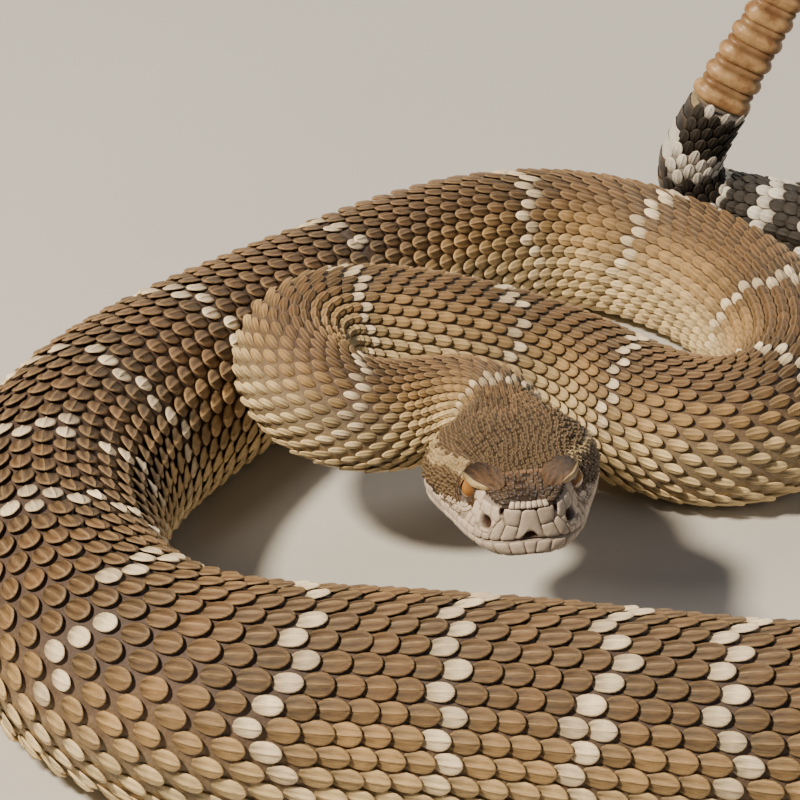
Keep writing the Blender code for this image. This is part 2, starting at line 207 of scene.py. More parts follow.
def smooth_step(low, high, value):
    """From 0 at the low end to 1 at the high end, level at both."""
    share = np.clip((value - low) / (high - low), 0.0, 1.0)
    return share * share * (3 - 2 * share)


def blend(first, second, share):
    """Colours between two, by a share for each of them."""
    share = np.asarray(share)[..., None]
    return np.asarray(first) * (1 - share) + np.asarray(second) * share


def bell(value, middle, width):
    """A soft bump, 1 in its middle."""
    return np.exp(-((value - middle) / width) ** 2)


def unit(vectors):
    """The same directions, one long."""
    return vectors / np.maximum(np.linalg.norm(vectors, axis=-1, keepdims=True), 1e-12)


def curve_through(points, spans):
    """Samples of the uniform cubic B-spline that the points control, from the first to the last."""
    points = np.array(points, dtype=float)
    padded = np.vstack([2 * points[0] - points[1], points, 2 * points[-1] - points[-2]])
    samples = []
    for start in range(len(padded) - 3):
        for step in range(spans):
            t = step / spans
            weights = ((1 - t) ** 3, 3 * t**3 - 6 * t**2 + 4, -3 * t**3 + 3 * t**2 + 3 * t + 1, t**3)
            samples.append(np.array(weights) @ padded[start:start + 4] / 6)
    samples.append((padded[-3] + 4 * padded[-2] + padded[-1]) / 6)
    return np.array(samples)


def curve_on(points, places):
    """Points on the smooth curve that passes through the given ones, at places counted in points."""
    points = np.array(points, dtype=float)
    padded = np.concatenate([[2 * points[0] - points[1]], points, [2 * points[-1] - points[-2]]])
    start = np.clip(np.floor(places).astype(int), 0, len(points) - 2)
    t = (places - start).reshape((-1,) + (1,) * (points.ndim - 1))
    a, b, c, d = (padded[start + offset] for offset in range(4))
    return b + 0.5 * t * (c - a + t * (2 * a - 5 * b + 4 * c - d + t * (3 * (b - c) + d - a)))


class Spine:
    """The body's middle line, with its half width, its frame and the count of scales along it."""

    def __init__(self):
        controls = [(x, y, lift + BELLY * half, half) for x, y, lift, half in ROUTE]
        samples = curve_through(controls, SPANS) * MM
        self.middle = samples[:, :3]
        self.half = samples[:, 3]
        steps = np.linalg.norm(np.diff(self.middle, axis=0), axis=1)
        self.along = np.concatenate([[0.0], np.cumsum(steps)])
        self.length = self.along[-1]
        self.heading = unit(np.gradient(self.middle, axis=0))
        self.back = self.carried_back()
        pitch = pitch_at(self.along)
        self.count = np.concatenate([[0.0], np.cumsum(steps * (1 / pitch[1:] + 1 / pitch[:-1]) / 2)])

    def carried_back(self):
        """The back's direction, kept upwards where the body lies and carried along where it rises."""
        sky = np.array([0.0, 0.0, 1.0])
        back = sky
        result = []
        for heading in self.heading:
            if abs(heading[2]) < 0.5:
                back = sky
            back = back - heading * (back @ heading)
            back = back / np.linalg.norm(back)
            result.append(back)
        return np.array(result)

    def frames(self, along):
        """The middle, the way to the tail, the back's way, the side's way and half the width."""
        def pick(values):
            columns = [np.interp(along, self.along, values[:, axis]) for axis in range(3)]
            return np.stack(columns, axis=-1)

        heading = unit(pick(self.heading))
        back = pick(self.back)
        back = unit(back - heading * np.sum(back * heading, axis=-1, keepdims=True))
        side = np.cross(heading, back)
        beyond = along - np.clip(along, 0.0, self.length)
        middle = pick(self.middle) + heading * beyond[..., None]
        return middle, heading, back, side, np.interp(along, self.along, self.half)

    def count_of(self, along):
        """How many scales lie between the neck and a place along the spine."""
        return np.interp(along, self.along, self.count)

    def along_of(self, count):
        """The place along the spine where that many scales are passed."""
        return np.interp(count, self.count, self.along)


def pitch_at(along):
    """From one scale to the next of its row, at a place along the spine."""
    places, steps = np.array(PITCHES).T * MM
    return np.interp(along, places, steps)


def coat_of(half):
    """Depth of the coat of scales, which the skin lies inside the solid by."""
    return 0.12 * MM + 0.036 * half


SPINE = Spine()


def body_surface(along, angle, share=0.0):
    """Points on the body's skin, or a share of the coat's depth above it."""
    along, angle, share = np.broadcast_arrays(np.asarray(along, float), angle, share)
    middle, _, back, side, half = SPINE.frames(along)
    radius = half - coat_of(half) * (1 - share)
    up = np.cos(angle)
    rise = up * (1 + RIDGE * np.maximum(up, 0.0) ** RIDGE_POWER)
    rise = (rise - BELLY + np.sqrt((rise + BELLY) ** 2 + BELLY_ROUND ** 2)) / 2
    points = middle + (radius * np.sin(angle))[..., None] * side + (radius * rise)[..., None] * back
    points[..., 2] = np.maximum(points[..., 2], FLOOR_GAP)
    return points


def body_frames(along, angle):
    """On the body's skin: the place, the ways to the tail and outward, and the skin's stretch."""
    reach = 0.8 * MM
    turn = 0.06
    ahead = body_surface(along + reach, angle) - body_surface(along - reach, angle)
    stretch = np.linalg.norm(ahead, axis=-1) / (2 * reach)
    round_way = body_surface(along, angle + turn) - body_surface(along, angle - turn)
    return body_surface(along, angle), unit(ahead), unit(np.cross(round_way, ahead)), stretch


def head_matrix():
    """Where the head stands and how it is turned."""
    facing = Matrix.Rotation(-math.pi / 2 + HEAD_YAW, 4, "Z")
    return (Matrix.Translation(Vector(SPINE.middle[0])) @ facing
            @ Matrix.Rotation(-HEAD_PITCH, 4, "Y") @ Matrix.Rotation(HEAD_ROLL, 4, "X"))


def to_world(points):
    """Places in the head's own frame, moved to where the head is."""
    matrix = np.array(head_matrix())
    return points @ matrix[:3, :3].T + matrix[:3, 3]


def turn_to_world(vectors):
    """Directions in the head's own frame, turned with the head."""
    return vectors @ np.array(head_matrix())[:3, :3].T


def line_shares():
    """Where each point of half a ring lies, counted in the lines of the head's section."""
    places = [line + step / strips for line, strips in enumerate(STRIPS) for step in range(strips)]
    return np.array(places + [len(STRIPS)], dtype=float)


def head_section(station):
    """Half a section of the head, from the crown's middle to the chin's: its lines as y and z."""
    distance, lips, crown, top, edge, mouth, under = station
    share = min(max((distance - JOWL_END) / (SNOUT_START - JOWL_END), 0.0), 1.0)
    cheek = np.array(JOWL) * (1 - share) + np.array(SNOUT_SIDE) * share
    half_lip = min(LIP, 0.35 * lips)
    lines = [(0.0, top)]
    lines += [(share * crown, top - drop) for share, drop in CROWN_ROUND]
    lines.append((crown, edge))
    lines += [(crown + out * (lips - crown), mouth + up * (edge - mouth)) for out, up in cheek]
    lines.append((lips, mouth + half_lip))
    lines.append((lips - 0.5 * LOWER_LIP_IN, mouth))
    lines.append((lips - LOWER_LIP_IN, mouth - half_lip))
    lines += [(share * lips, mouth + down * (under - mouth)) for share, down in JAW]
    lines.append((0.0, under + CHIN_HOLLOW))
    return np.array(lines)


def grid_normals(grid):
    """Outward directions of a grid of points, whose rings follow each other to the tail."""
    tailward = np.gradient(grid, axis=0)
    round_way = np.roll(grid, -1, axis=1) - np.roll(grid, 1, axis=1)
    return unit(np.cross(round_way, tailward))


def hollow_reach(points, place, size, side):
    """How far points lie from a hollow's middle, as a share of its size."""
    offset = (points - np.array((place[0], place[1] * side, place[2]))) / np.array(size)
    return np.linalg.norm(offset, axis=-1)


class Head:
    """The head's skin as rings of points from the snout to the neck, in the head's own frame."""

    def __init__(self):
        stations = np.array(STATIONS)[::-1]
        fine = np.linspace(0, len(stations) - 1, 1200)
        sizes = curve_on(stations, fine)
        steps = np.linalg.norm(np.diff(sizes[:, :2], axis=0), axis=1)
        travel = np.concatenate([[0.0], np.cumsum(steps)])
        count = round(travel[-1] * MM / HEAD_STEP)
        places = np.interp(np.linspace(0, travel[-1], count + 1), travel, fine)
        sizes = curve_on(stations, places)
        self.shares = line_shares()
        rings = []
        for station in sizes:
            section = head_section(station)
            mirrored = np.vstack([section[1] * (-1, 1), section, section[-2] * (-1, 1)])
            left = curve_on(mirrored, self.shares + 1)
            right = left[-2:0:-1] * (-1, 1)
            ring = np.vstack([left, right])
            rings.append(np.column_stack([np.full(len(ring), station[0]), ring]))
        self.stations = sizes[:, 0] * MM
        self.plain = np.array(rings) * MM
        self.plain = self.plain - grid_normals(self.plain) * HEAD_COAT
        self.grid = self.carved(self.plain)
        self.normals = grid_normals(self.grid)
        steps = np.linalg.norm(np.diff(self.plain[:, :len(self.shares)], axis=1), axis=2)
        self.girth = np.concatenate([np.zeros((len(steps), 1)), np.cumsum(steps, axis=1)], axis=1)

    def line_of_columns(self):
        """The line of the section that each column of the skin follows."""
        return np.concatenate([self.shares, self.shares[-2:0:-1]])

    def carved(self, grid):
        """Presses the mouth's line, the sockets, the pits and the nostrils into the skin."""
        normals = grid_normals(grid)
        lines = self.line_of_columns()[None, :]
        x = grid[..., 0]
        open_mouth = smooth_step(MOUTH_FROM - 2 * MM, MOUTH_FROM + 2 * MM, x)
        groove = bell(lines, MOUTH_LINE, 0.30) * MOUTH_DEPTH
        swell = (bell(lines, UPPER_LIP_LINE, 0.6) + 0.8 * bell(lines, LOWER_LIP_LINE, 0.6)) * LIP_SWELL
        grid = grid + normals * ((swell - groove) * (0.12 + 0.88 * open_mouth))[..., None]
        chin = bell(lines, CHIN_LINE, 0.35) * CHIN_GROOVE * smooth_step(20 * MM, 26 * MM, x)
        grid = grid - normals * chin[..., None]
        for side in (1, -1):
            grid = self.with_hollow(grid, normals, PIT, PIT_SIZE, PIT_DEPTH, side)
            grid = self.with_hollow(grid, normals, NOSTRIL, [NOSTRIL_RADIUS] * 3, NOSTRIL_DEPTH, side)
            grid = self.with_socket(grid, side)
        return self.with_hollow(grid, normals, NOTCH, NOTCH_SIZE, NOTCH_DEPTH, 1)

    @staticmethod
    def with_hollow(grid, normals, place, size, depth, side):
        """A round hollow with a raised rim."""
        reach = hollow_reach(grid, place, size, side)
        rim = bell(reach, 1.35, 0.28) * 0.10 * depth
        press = (1 - smooth_step(0.35, 1.25, reach)) * depth
        return grid + normals * (rim - press)[..., None]

    @staticmethod
    def with_socket(grid, side):
        """A ball-shaped socket for the eye, with a low collar."""
        middle = np.array((EYE.x, EYE.y * side, EYE.z))
        offset = grid - middle
        reach = np.linalg.norm(offset, axis=-1, keepdims=True)
        inside = 1 - smooth_step(1.00, 1.10, reach / EYE_RADIUS)
        sunk = middle + offset / np.maximum(reach, 1e-6) * EYE_RADIUS * 0.86
        collar = bell(reach / EYE_RADIUS, 1.22, 0.12) * 0.12 * MM
        raised = grid + offset / np.maximum(reach, 1e-6) * collar
        return raised * (1 - inside) + sunk * inside

    def at(self, x, line, grid=None):
        """The skin at a distance from the neck and a line of the section, negative on the right."""
        grid = self.grid if grid is None else grid
        x, line = np.broadcast_arrays(np.asarray(x, float), np.asarray(line, float))
        row = np.interp(-x, -self.stations, np.arange(len(self.stations)))
        column = np.interp(np.abs(line), self.shares, np.arange(len(self.shares)))
        column = np.where(line < 0, AROUND - column, column)
        r0 = np.clip(np.floor(row).astype(int), 0, len(self.stations) - 2)
        c0 = np.floor(column).astype(int)
        tr = (row - r0)[..., None]
        tc = (column - c0)[..., None]
        a = grid[r0, c0 % AROUND] * (1 - tc) + grid[r0, (c0 + 1) % AROUND] * tc
        b = grid[r0 + 1, c0 % AROUND] * (1 - tc) + grid[r0 + 1, (c0 + 1) % AROUND] * tc
        return a * (1 - tr) + b * tr

    def frames(self, x, line):
        """Place, way to the tail and outward way, in the head's own frame."""
        reach = 0.5 * MM
        tailward = unit(self.at(np.asarray(x) - reach, line) - self.at(np.asarray(x) + reach, line))
        outward = unit(self.at(x, line, self.normals))
        return self.at(x, line), tailward, outward

    def ring_at(self, x):
        """The number of the ring nearest to a distance from the neck."""
        return int(round(float(np.interp(-x, -self.stations, np.arange(len(self.stations))))))

    def where(self, point):
        """The distance from the neck and the signed line of the skin's point nearest to a place."""
        row, column = divmod(int(np.linalg.norm(self.grid - point, axis=-1).argmin()), AROUND)
        line = self.line_of_columns()[column]
        return self.stations[row], -line if column > AROUND // 2 else line


HEAD = Head()


# The skin's unwrap, from 0 to 1 both ways: a strip for the head below one for the body
BAKE_EDGE = 0.01
HEAD_STRIP = (0.96, 0.32)
BODY_STRIP = (0.98, 0.62)
BODY_STRIP_FROM = 0.36
HEAD_LONG = 42.5 * MM
SCALE_PATCH = 0.0028  # side of the patch that one scale takes there


def bake_place_body(along, angle):
    """Place on the unwrap of the skin: the body's part of it."""
    share = SPINE.count_of(along) / SPINE.count[-1]
    turn = BODY_STRIP[1] * (angle + math.pi) / (2 * math.pi)
    return np.stack([BAKE_EDGE + BODY_STRIP[0] * share, BODY_STRIP_FROM + turn], axis=-1)


def bake_place_head(x, line):
    """Place on the unwrap of the skin: the head's part of it."""
    share = HEAD_STRIP[0] * np.asarray(x) / HEAD_LONG
    turn = HEAD_STRIP[1] * (np.asarray(line) + CHIN_LINE) / (2 * CHIN_LINE)
    return np.stack([BAKE_EDGE + share, BAKE_EDGE + turn], axis=-1)


# Markings

BAR_KNOTS = 9  # a bar's wandering is set at this many places round the back
BAR_WANDER = 0.42  # how far it wanders, in scales
WORN_AWAY = 0.06  # this share of a bar's scales stays brown
FLANK_TURN = (0.75, 1.35)  # how far round from the back the brown turns into the flank's colour
BELLY_TURN = (1.25, 2.0)  # and the flank's into the belly's


def settings():
    """The sizes and colours set in the sidebar."""
    return bpy.context.scene.rattlesnake


def colours(*names):
    """The set colours of these names."""
    return [np.array(getattr(settings(), name)[:]) for name in names]


def body_marks(count, angle, rng):
    """Colours of the body's scales and of the skin there, by count along and turn round the spine."""
    back, flank, cream, bar_colour = colours("back_brown", "flank_olive", "cream", "bar_cream")
    around = np.abs(angle)
    along = SPINE.along_of(count)
    # On the neck and the loop the sides' colours reach higher
    lower = around + 0.16 * (1 - smooth_step(90 * MM, 150 * MM, along))
    lower = lower + 0.44 * (1 - smooth_step(260 * MM, 400 * MM, along))
    colour = blend(np.broadcast_to(back, (len(count), 3)), flank, smooth_step(*FLANK_TURN, lower))
    colour = blend(colour, cream, 0.85 * smooth_step(*BELLY_TURN, lower))
    wear_and_glint = rng.uniform(0.0, 1.0, len(count))
    barred = np.zeros(len(count))
    ages = rng.normal(0.0, 1.0, (len(CROSSBARS), BAR_KNOTS))
    knots = np.linspace(-SIDE_EDGE, SIDE_EDGE, BAR_KNOTS)
    before_vent = along < VENT
    for number, place in enumerate(CROSSBARS):
        centre = SPINE.count_of(place * MM)
        wander = np.interp(angle, knots, BAR_WANDER * ages[number])
        distance = np.abs(count - centre - wander)
        dark = (1 - smooth_step(0.9, 2.6, distance)) * (1 - smooth_step(1.0, 1.8, around))
        colour = colour * (1 - 0.45 * dark * before_vent)[:, None]
        near = (distance < settings().bar_reach) & before_vent
        bright = 1.0 - 0.70 * smooth_step(1.1, 1.9, around)
        bright = bright * (0.66 + 0.34 * wear_and_glint) * (wear_and_glint > WORN_AWAY)
        bright = bright * (0.6 if number == 0 else 1.0)
        barred = np.maximum(barred, bright * near)
    return tail_marks(blend(colour, bar_colour, barred), along), tail_marks(colour, along), barred


def tail_marks(colour, along):
    """The same colours with the dark and pale rings put in past the vent."""
    ash, soot = colours("tail_ash", "tail_soot")
    on_tail = smooth_step(VENT - 3 * MM, VENT + 3 * MM, along)
    ringed = np.broadcast_to(ash, colour.shape)
    for first, last in TAIL_RINGS:
        inside = (along > first * MM) & (along < last * MM)
        ringed = np.where(inside[:, None], soot, ringed)
    return blend(colour, ringed, on_tail)


# The lips are white from these lines of the section down, at distances from the neck in millimetres
LIP_WHITE_AT = (12.0, 20.0, 27.0, 31.0)
LIP_WHITE_FROM = (6.75, 6.2, 5.6, 5.15)
FACE_FROM = 33.2  # and the sides of the snout from this distance on
STRIPE_FROM, STRIPE_TO = 4, 29


def head_marks(x, line, rng):
    """The colour of each scale or plate of the head, by its distance from the neck and its line."""
    brown, cheek, white, stripe = colours("head_brown", "cheek_brown", "face_white", "stripe_cream")
    x = np.asarray(x) / MM + rng.normal(0, 0.25, np.shape(x))
    line = np.abs(line) + rng.normal(0, 0.05, np.shape(line))
    colour = np.broadcast_to(brown, x.shape + (3,))
    # The stripe behind the eye, whose edges drop towards the neck
    upper = 3.15 + 0.9 * smooth_step(27, 12, x)
    lower = 4.15 + 0.75 * smooth_step(26, 12, x)
    nape = (1 - smooth_step(9.0, 14.0, x)) * (1 - smooth_step(1.0, 2.2, line))
    colour = blend(colour, brown * 2.4, nape * (rng.random(x.shape) > 0.45))
    in_stripe = (line > upper) & (line < lower) & (x < STRIPE_TO) & (x > STRIPE_FROM)
    colour = np.where(((line >= lower) & (x < FACE_FROM))[..., None], cheek, colour)
    colour = np.where(in_stripe[..., None], stripe, colour)
    lips = np.interp(x, LIP_WHITE_AT, LIP_WHITE_FROM)
    colour = np.where((line > lips)[..., None], white, colour)
    colour = np.where(((x > FACE_FROM) & (line > 3.35))[..., None], white, colour)
    return blend(colour, white * (0.92, 0.86, 0.72), 0.6 * smooth_step(9.5, 11.5, line))


# The body's scales

@functools.lru_cache(maxsize=None)
def lay_scales():
    """Roots, turns, sizes and markings of every scale of the body's back and sides."""
    rng = np.random.default_rng(SEED)
    found = []
    ends = [start for start, _ in ROWS[1:]] + [SPINE.length - 1.0 * MM]
    for (start, rows), end in zip(ROWS, ends):
        first = math.ceil(float(SPINE.count_of(max(start, 0)))) - (1 if start < 0 else 0)
        last = math.ceil(float(SPINE.count_of(end)))
        number, row = np.meshgrid(np.arange(first, last), np.arange(rows), indexing="ij")
        step = 2 * SIDE_EDGE / rows
        counts = number + 0.5 * (row % 2)
        angles = (row - (rows - 1) / 2) * step
        found.append(np.stack([counts, angles, np.full(row.shape, step)]).reshape(3, -1))
    count, angle, width = np.concatenate(found, axis=1)
    colour, ground, barred = body_marks(count, angle, rng)
    along = SPINE.along_of(count) + np.minimum(count, 0.0) * NECK_PITCH
    half = np.interp(along, SPINE.along, SPINE.half)
    place, tailward, outward, stretch = body_frames(along, angle)
    length = SCALE_LONG * pitch_at(along) * np.clip(stretch, 0.42, 1.0) ** 0.7
    # Scales are narrower on the neck, wider in the lowest rows and smaller in the bars
    lowest = smooth_step(2.0, 2.3, np.abs(angle))
    look = settings()
    broad = look.scale_width * (0.885 + 0.115 * smooth_step(120 * MM, 240 * MM, along))
    across = broad * width * (half - coat_of(half)) * (1 + 0.30 * lowest) * (1 - 0.14 * barred)
    length = length * (1 - 0.10 * barred)
    thick = coat_of(half) * SCALE_DEPTH
    root = place - tailward * (length * 0.5)[:, None] + outward * (SCALE_RAISED * thick)[:, None]
    lift = look.scale_lift + BEND_LIFT * smooth_step(1.0, 0.5, stretch)
    return {
        "root": root, "tailward": tailward, "outward": outward, "lift": lift,
        "size": np.stack([length, across, thick], axis=-1), "marking": colour, "ground": ground,
        "bake": bake_place_body(along, angle), "chance": rng.random(len(count)), "middle": place,
    }


def turns_of(tailward, outward, lift):
    """Euler turns that lay a scale's X tailward and its Z outward, its tip lifted by an angle."""
    side = unit(np.cross(outward, tailward))
    up = unit(np.cross(tailward, side))
    cos, sin = np.cos(lift)[:, None], np.sin(lift)[:, None]
    x_way = tailward * cos + up * sin
    z_way = up * cos - tailward * sin
    axes = np.stack([x_way, side, z_way], axis=-1)
    return np.array([tuple(Matrix(turn).to_euler()) for turn in axes])


def leaf_mesh(name, keel, sections):
    """One scale in unit sizes, closed, with its rim, keel, root and place kept as attributes."""
    points = []
    marks = []
    for share, wide, top, under in sections:
        rim_height = under + 0.30 * (top - under)
        ends = smooth_step(KEEL_FROM, 0.35, share) * (1 - smooth_step(0.9, 1.0, share) * 0.6)
        ridge = keel * float(ends)
        for across, rise in LEAF_ACROSS:
            crest = ridge if across == 0.0 else 0.0
            points.append((share, across * wide / 2, rim_height + rise * (top - rim_height) + crest))
            rim = max(abs(across) ** 3, float(smooth_step(0.80, 1.0, share)))
            on_keel = 1.0 - abs(across) * 4 if abs(across) < 0.25 else 0.0
            marks.append((rim, on_keel, share, across * wide))
    columns = len(LEAF_ACROSS)
    faces = []
    for row in range(len(sections) - 1):
        for column in range(columns - 1):
            a = row * columns + column
            faces.append((a, a + columns, a + columns + 1, a + 1))
    under_start = len(points)
    for share, _, _, under in sections:
        points.append((share, 0.0, under))
        marks.append((0.5, 0.0, share, 0.0))
    for row in range(len(sections) - 1):
        left = row * columns
        right = left + columns - 1
        below = under_start + row
        faces.append((left, below, below + 1, left + columns))
        faces.append((below, right, right + columns, below + 1))
    faces.append(tuple(range(columns)) + (under_start,))
    last = (len(sections) - 1) * columns
    faces.append((under_start + len(sections) - 1,) + tuple(range(last + columns - 1, last - 1, -1)))
    rim, on_keel, share, across = np.array(marks).T
    leaf = np.column_stack([share, across, np.zeros(len(marks))])
    return mesh_of(name, points, [face[::-1] for face in faces], rim=rim, keel=on_keel, leaf=leaf)


def write_values(data, **named):
    """Keeps numbers, vectors or colours under their names, one for each point of a mesh."""
    for name, values in named.items():
        values = np.asarray(values, dtype=np.float32)
        kind, field = ("FLOAT", "value") if values.ndim == 1 else ("FLOAT_VECTOR", "vector")
        data.attributes.new(name, kind, "POINT").data.foreach_set(field, values.ravel())


def read_vectors(data, name):
    """The vectors kept under a name, one for each point of a mesh."""
    values = np.empty(len(data.vertices) * 3, dtype=np.float32)
    data.attributes[name].data.foreach_get("vector", values)
    return values.reshape(-1, 3)


@functools.lru_cache(maxsize=None)
def scatter_tree():
    """A tree that sets one shape on every point, turned and sized by the points' own attributes."""
    tree = bpy.data.node_groups.new("set_on_points", "GeometryNodeTree")
    face = tree.interface
    for name, kind in (("Points", "Geometry"), ("Shape", "Object"), ("Finish", "Material"),
                       ("Unevenness", "Float"), ("Seed", "Int")):
        face.new_socket(name, in_out="INPUT", socket_type="NodeSocket" + kind)
    face.new_socket("Pieces", in_out="OUTPUT", socket_type="NodeSocketGeometry")

    def add(kind, **fixed):
        node = tree.nodes.new(kind)
        for name, value in fixed.items():
            setattr(node, name, value)
        return node

    given = add("NodeGroupInput")
    result = add("NodeGroupOutput")
    turn = add("GeometryNodeInputNamedAttribute", data_type="FLOAT_VECTOR")
    size = add("GeometryNodeInputNamedAttribute", data_type="FLOAT_VECTOR")
    euler = add("FunctionNodeEulerToRotation")
    least = add("ShaderNodeMath", operation="SUBTRACT")
    most = add("ShaderNodeMath", operation="ADD")
    chance = add("FunctionNodeRandomValue", data_type="FLOAT_VECTOR")
    uneven = add("ShaderNodeVectorMath", operation="MULTIPLY")
    shape = add("GeometryNodeObjectInfo")
    instances = add("GeometryNodeInstanceOnPoints")
    realize = add("GeometryNodeRealizeInstances")
    finish = add("GeometryNodeSetMaterial")
    turn.inputs["Name"].default_value = "turn"
    size.inputs["Name"].default_value = "size"
    least.inputs[0].default_value = 1.0
    most.inputs[0].default_value = 1.0
    for start, end in (
        (given.outputs["Unevenness"], least.inputs[1]),
        (given.outputs["Unevenness"], most.inputs[1]),
        (least.outputs[0], chance.inputs[0]),
        (most.outputs[0], chance.inputs[1]),
        (given.outputs["Seed"], chance.inputs["Seed"]),
        (size.outputs[0], uneven.inputs[0]),
        (chance.outputs[0], uneven.inputs[1]),
        (turn.outputs[0], euler.inputs[0]),
        (given.outputs["Shape"], shape.inputs["Object"]),
        (given.outputs["Points"], instances.inputs["Points"]),
        (shape.outputs["Geometry"], instances.inputs["Instance"]),
        (euler.outputs[0], instances.inputs["Rotation"]),
        (uneven.outputs[0], instances.inputs["Scale"]),
        (instances.outputs[0], realize.inputs[0]),
        (realize.outputs[0], finish.inputs["Geometry"]),
        (given.outputs["Finish"], finish.inputs["Material"]),
        (finish.outputs[0], result.inputs[0]),
    ):
        tree.links.new(start, end)
    return tree


def set_on_points(name, roots, turns, sizes, values, shape, material, unevenness):
    """One plain mesh of a shape set on many points, with the points' values carried over to it."""
    points = bpy.data.meshes.new(name + "_points")
    points.from_pydata(roots.tolist(), [], [])
    write_values(points, turn=turns, size=sizes, **values)
    holder = bpy.data.objects.new(name + "_points", points)
    pattern = bpy.data.objects.new(name + "_shape", shape)
    for item in (holder, pattern):
        bpy.context.scene.collection.objects.link(item)
    tree = scatter_tree()
    modifier = holder.modifiers.new("set", "NODES")
    modifier.node_group = tree
    sockets = [item for item in tree.interface.items_tree if item.in_out == "INPUT"]
    inputs = {item.name: item.identifier for item in sockets}
    modifier[inputs["Shape"]] = pattern
    modifier[inputs["Finish"]] = material
    modifier[inputs["Unevenness"]] = unevenness
    modifier[inputs["Seed"]] = SEED
    graph = bpy.context.evaluated_depsgraph_get()
    data = bpy.data.meshes.new_from_object(holder.evaluated_get(graph), preserve_all_data_layers=True,
                                           depsgraph=graph)
    holder.modifiers.clear()
    data.name = name
    for item in (holder, pattern):
        bpy.data.objects.remove(item, do_unlink=True)
    data.shade_smooth()
    add_bake_map(data, read_vectors(data, "bake")[:, :2], read_vectors(data, "leaf"))
    return add_piece(name, data)


def add_bake_map(data, places, leaf):
    """Each scale is a small patch at its root's place on the skin's own unwrap."""
    corners = np.empty(len(data.loops), dtype=np.int32)
    data.loops.foreach_get("vertex_index", corners)
    across = np.column_stack([leaf[:, 0] - 0.5, leaf[:, 1] * 0.5])
    spots = places + across * SCALE_PATCH
    layer = data.uv_layers.new(name="OFBake")
    layer.data.foreach_set("uv", spots[corners].astype(np.float32).ravel())


def add_piece(name, data):
    """An object of the scene that shows the data."""
    item = bpy.data.objects.new(name, data)
    bpy.context.scene.collection.objects.link(item)
    return item


def mesh_of(name, points, faces, material=None, **named):
    """A smooth mesh with its values kept for each point."""
    data = bpy.data.meshes.new(name)
    data.from_pydata(points, [], faces)
    data.shade_smooth()
    if material:
        data.materials.append(material)
    write_values(data, **named)
    return data


def tube_faces(rings, around, first=0, turned=False):
    """Faces between closed rings of points that follow one another, or the same faces turned over."""
    row, column = np.meshgrid(np.arange(rings - 1), np.arange(around), indexing="ij")
    a = first + row * around + column
    b = first + row * around + (column + 1) % around
    corners = [a, a + around, b + around, b] if turned else [a, b, b + around, a + around]
    return np.stack(corners, axis=-1).reshape(-1, 4).tolist()


def grid_data(name, grid, closed_start=False, closed_end=False):
    """A tube of skin over rings of points that run tailward."""
    rings, around = grid.shape[:2]
    faces = tube_faces(rings, around)
    half = around // 2
    if closed_start:
        faces.append((0, around - 1, 1))
        for index in range(1, half - 1):
            faces.append((index, around - index, around - index - 1, index + 1))
        faces.append((half - 1, half + 1, half))
    if closed_end:
        last = (rings - 1) * around
        faces.append(tuple(last + index for index in range(around)))
    return mesh_of(name, grid.reshape(-1, 3).tolist(), faces)


def body_rings():
    """Turns and points of the body's rings of skin, with the head's spacing at the neck."""
    count = round(SPINE.length / BODY_STEP)
    along = np.linspace(0.8 * MM, SPINE.length, count)
    even = 2 * np.pi * np.arange(AROUND) / AROUND
    last = HEAD.plain[-1]
    own = np.unwrap(np.arctan2(last[:, 1], last[:, 2]))
    share = smooth_step(0.0, NECK_BLEND, along)[:, None]
    angle = own[None, :] * (1 - share) + even[None, :] * share
    return angle, body_surface(along[:, None], angle)


SNOUT_BLEND = (26 * MM, 33 * MM)  # from here on the skin's colour is its own and not its scales'


def make_skin(material):
    """One skin from the snout to the rattle, coloured like the scales that lie on it."""
    angle, body = body_rings()
    head = to_world(HEAD.grid)
    grid = np.concatenate([head, body])
    data = grid_data("skin", grid, closed_start=True, closed_end=True)
    scales = lay_scales()
    head_places = lay_head_scales()
    tree = KDTree(len(scales["middle"]) + len(head_places["middle"]))
    middles = np.concatenate([scales["middle"], head_places["middle"]])
    marks = np.concatenate([scales["ground"], head_places["marking"]])
    for index, point in enumerate(middles):
        tree.insert(point, index)
    tree.balance()
    nearest = [tree.find(point)[1] for point in grid.reshape(-1, 3)]
    marking = marks[nearest].reshape(grid.shape)
    rng = np.random.default_rng(SEED)
    lines = HEAD.line_of_columns()
    signed = np.where(np.arange(AROUND) > AROUND // 2, -lines, lines)
    x = np.broadcast_to(HEAD.stations[:, None], head.shape[:2])
    own = head_marks(x, np.broadcast_to(signed, x.shape), rng)
    own = own * (1 + 0.5 * smooth_step(0.35, 0.50, own[..., 1:2]))
    on_head = blend(marking[:len(head)], own, smooth_step(*SNOUT_BLEND, x))
    # Painted shade: the skin under the dark crown is darkened between the small scales
    marking[:len(head)] = on_head * np.where(on_head[..., :1] < 0.2, 0.55, 1.0)
    belly = np.abs((angle + np.pi) % (2 * np.pi) - np.pi) > SIDE_EDGE
    [cream] = colours("cream")
    marking[len(head):] = np.where(belly[..., None], cream, marking[len(head):])
    # The depth values tell the skin's finish where to paint shade into the pits, nostrils, notch and
    # mouth line
    write_values(data, marking=marking.reshape(-1, 3), depth=hollow_shade_shares(len(body)).ravel())
    data.materials.append(material)
    return add_piece("skin", data)


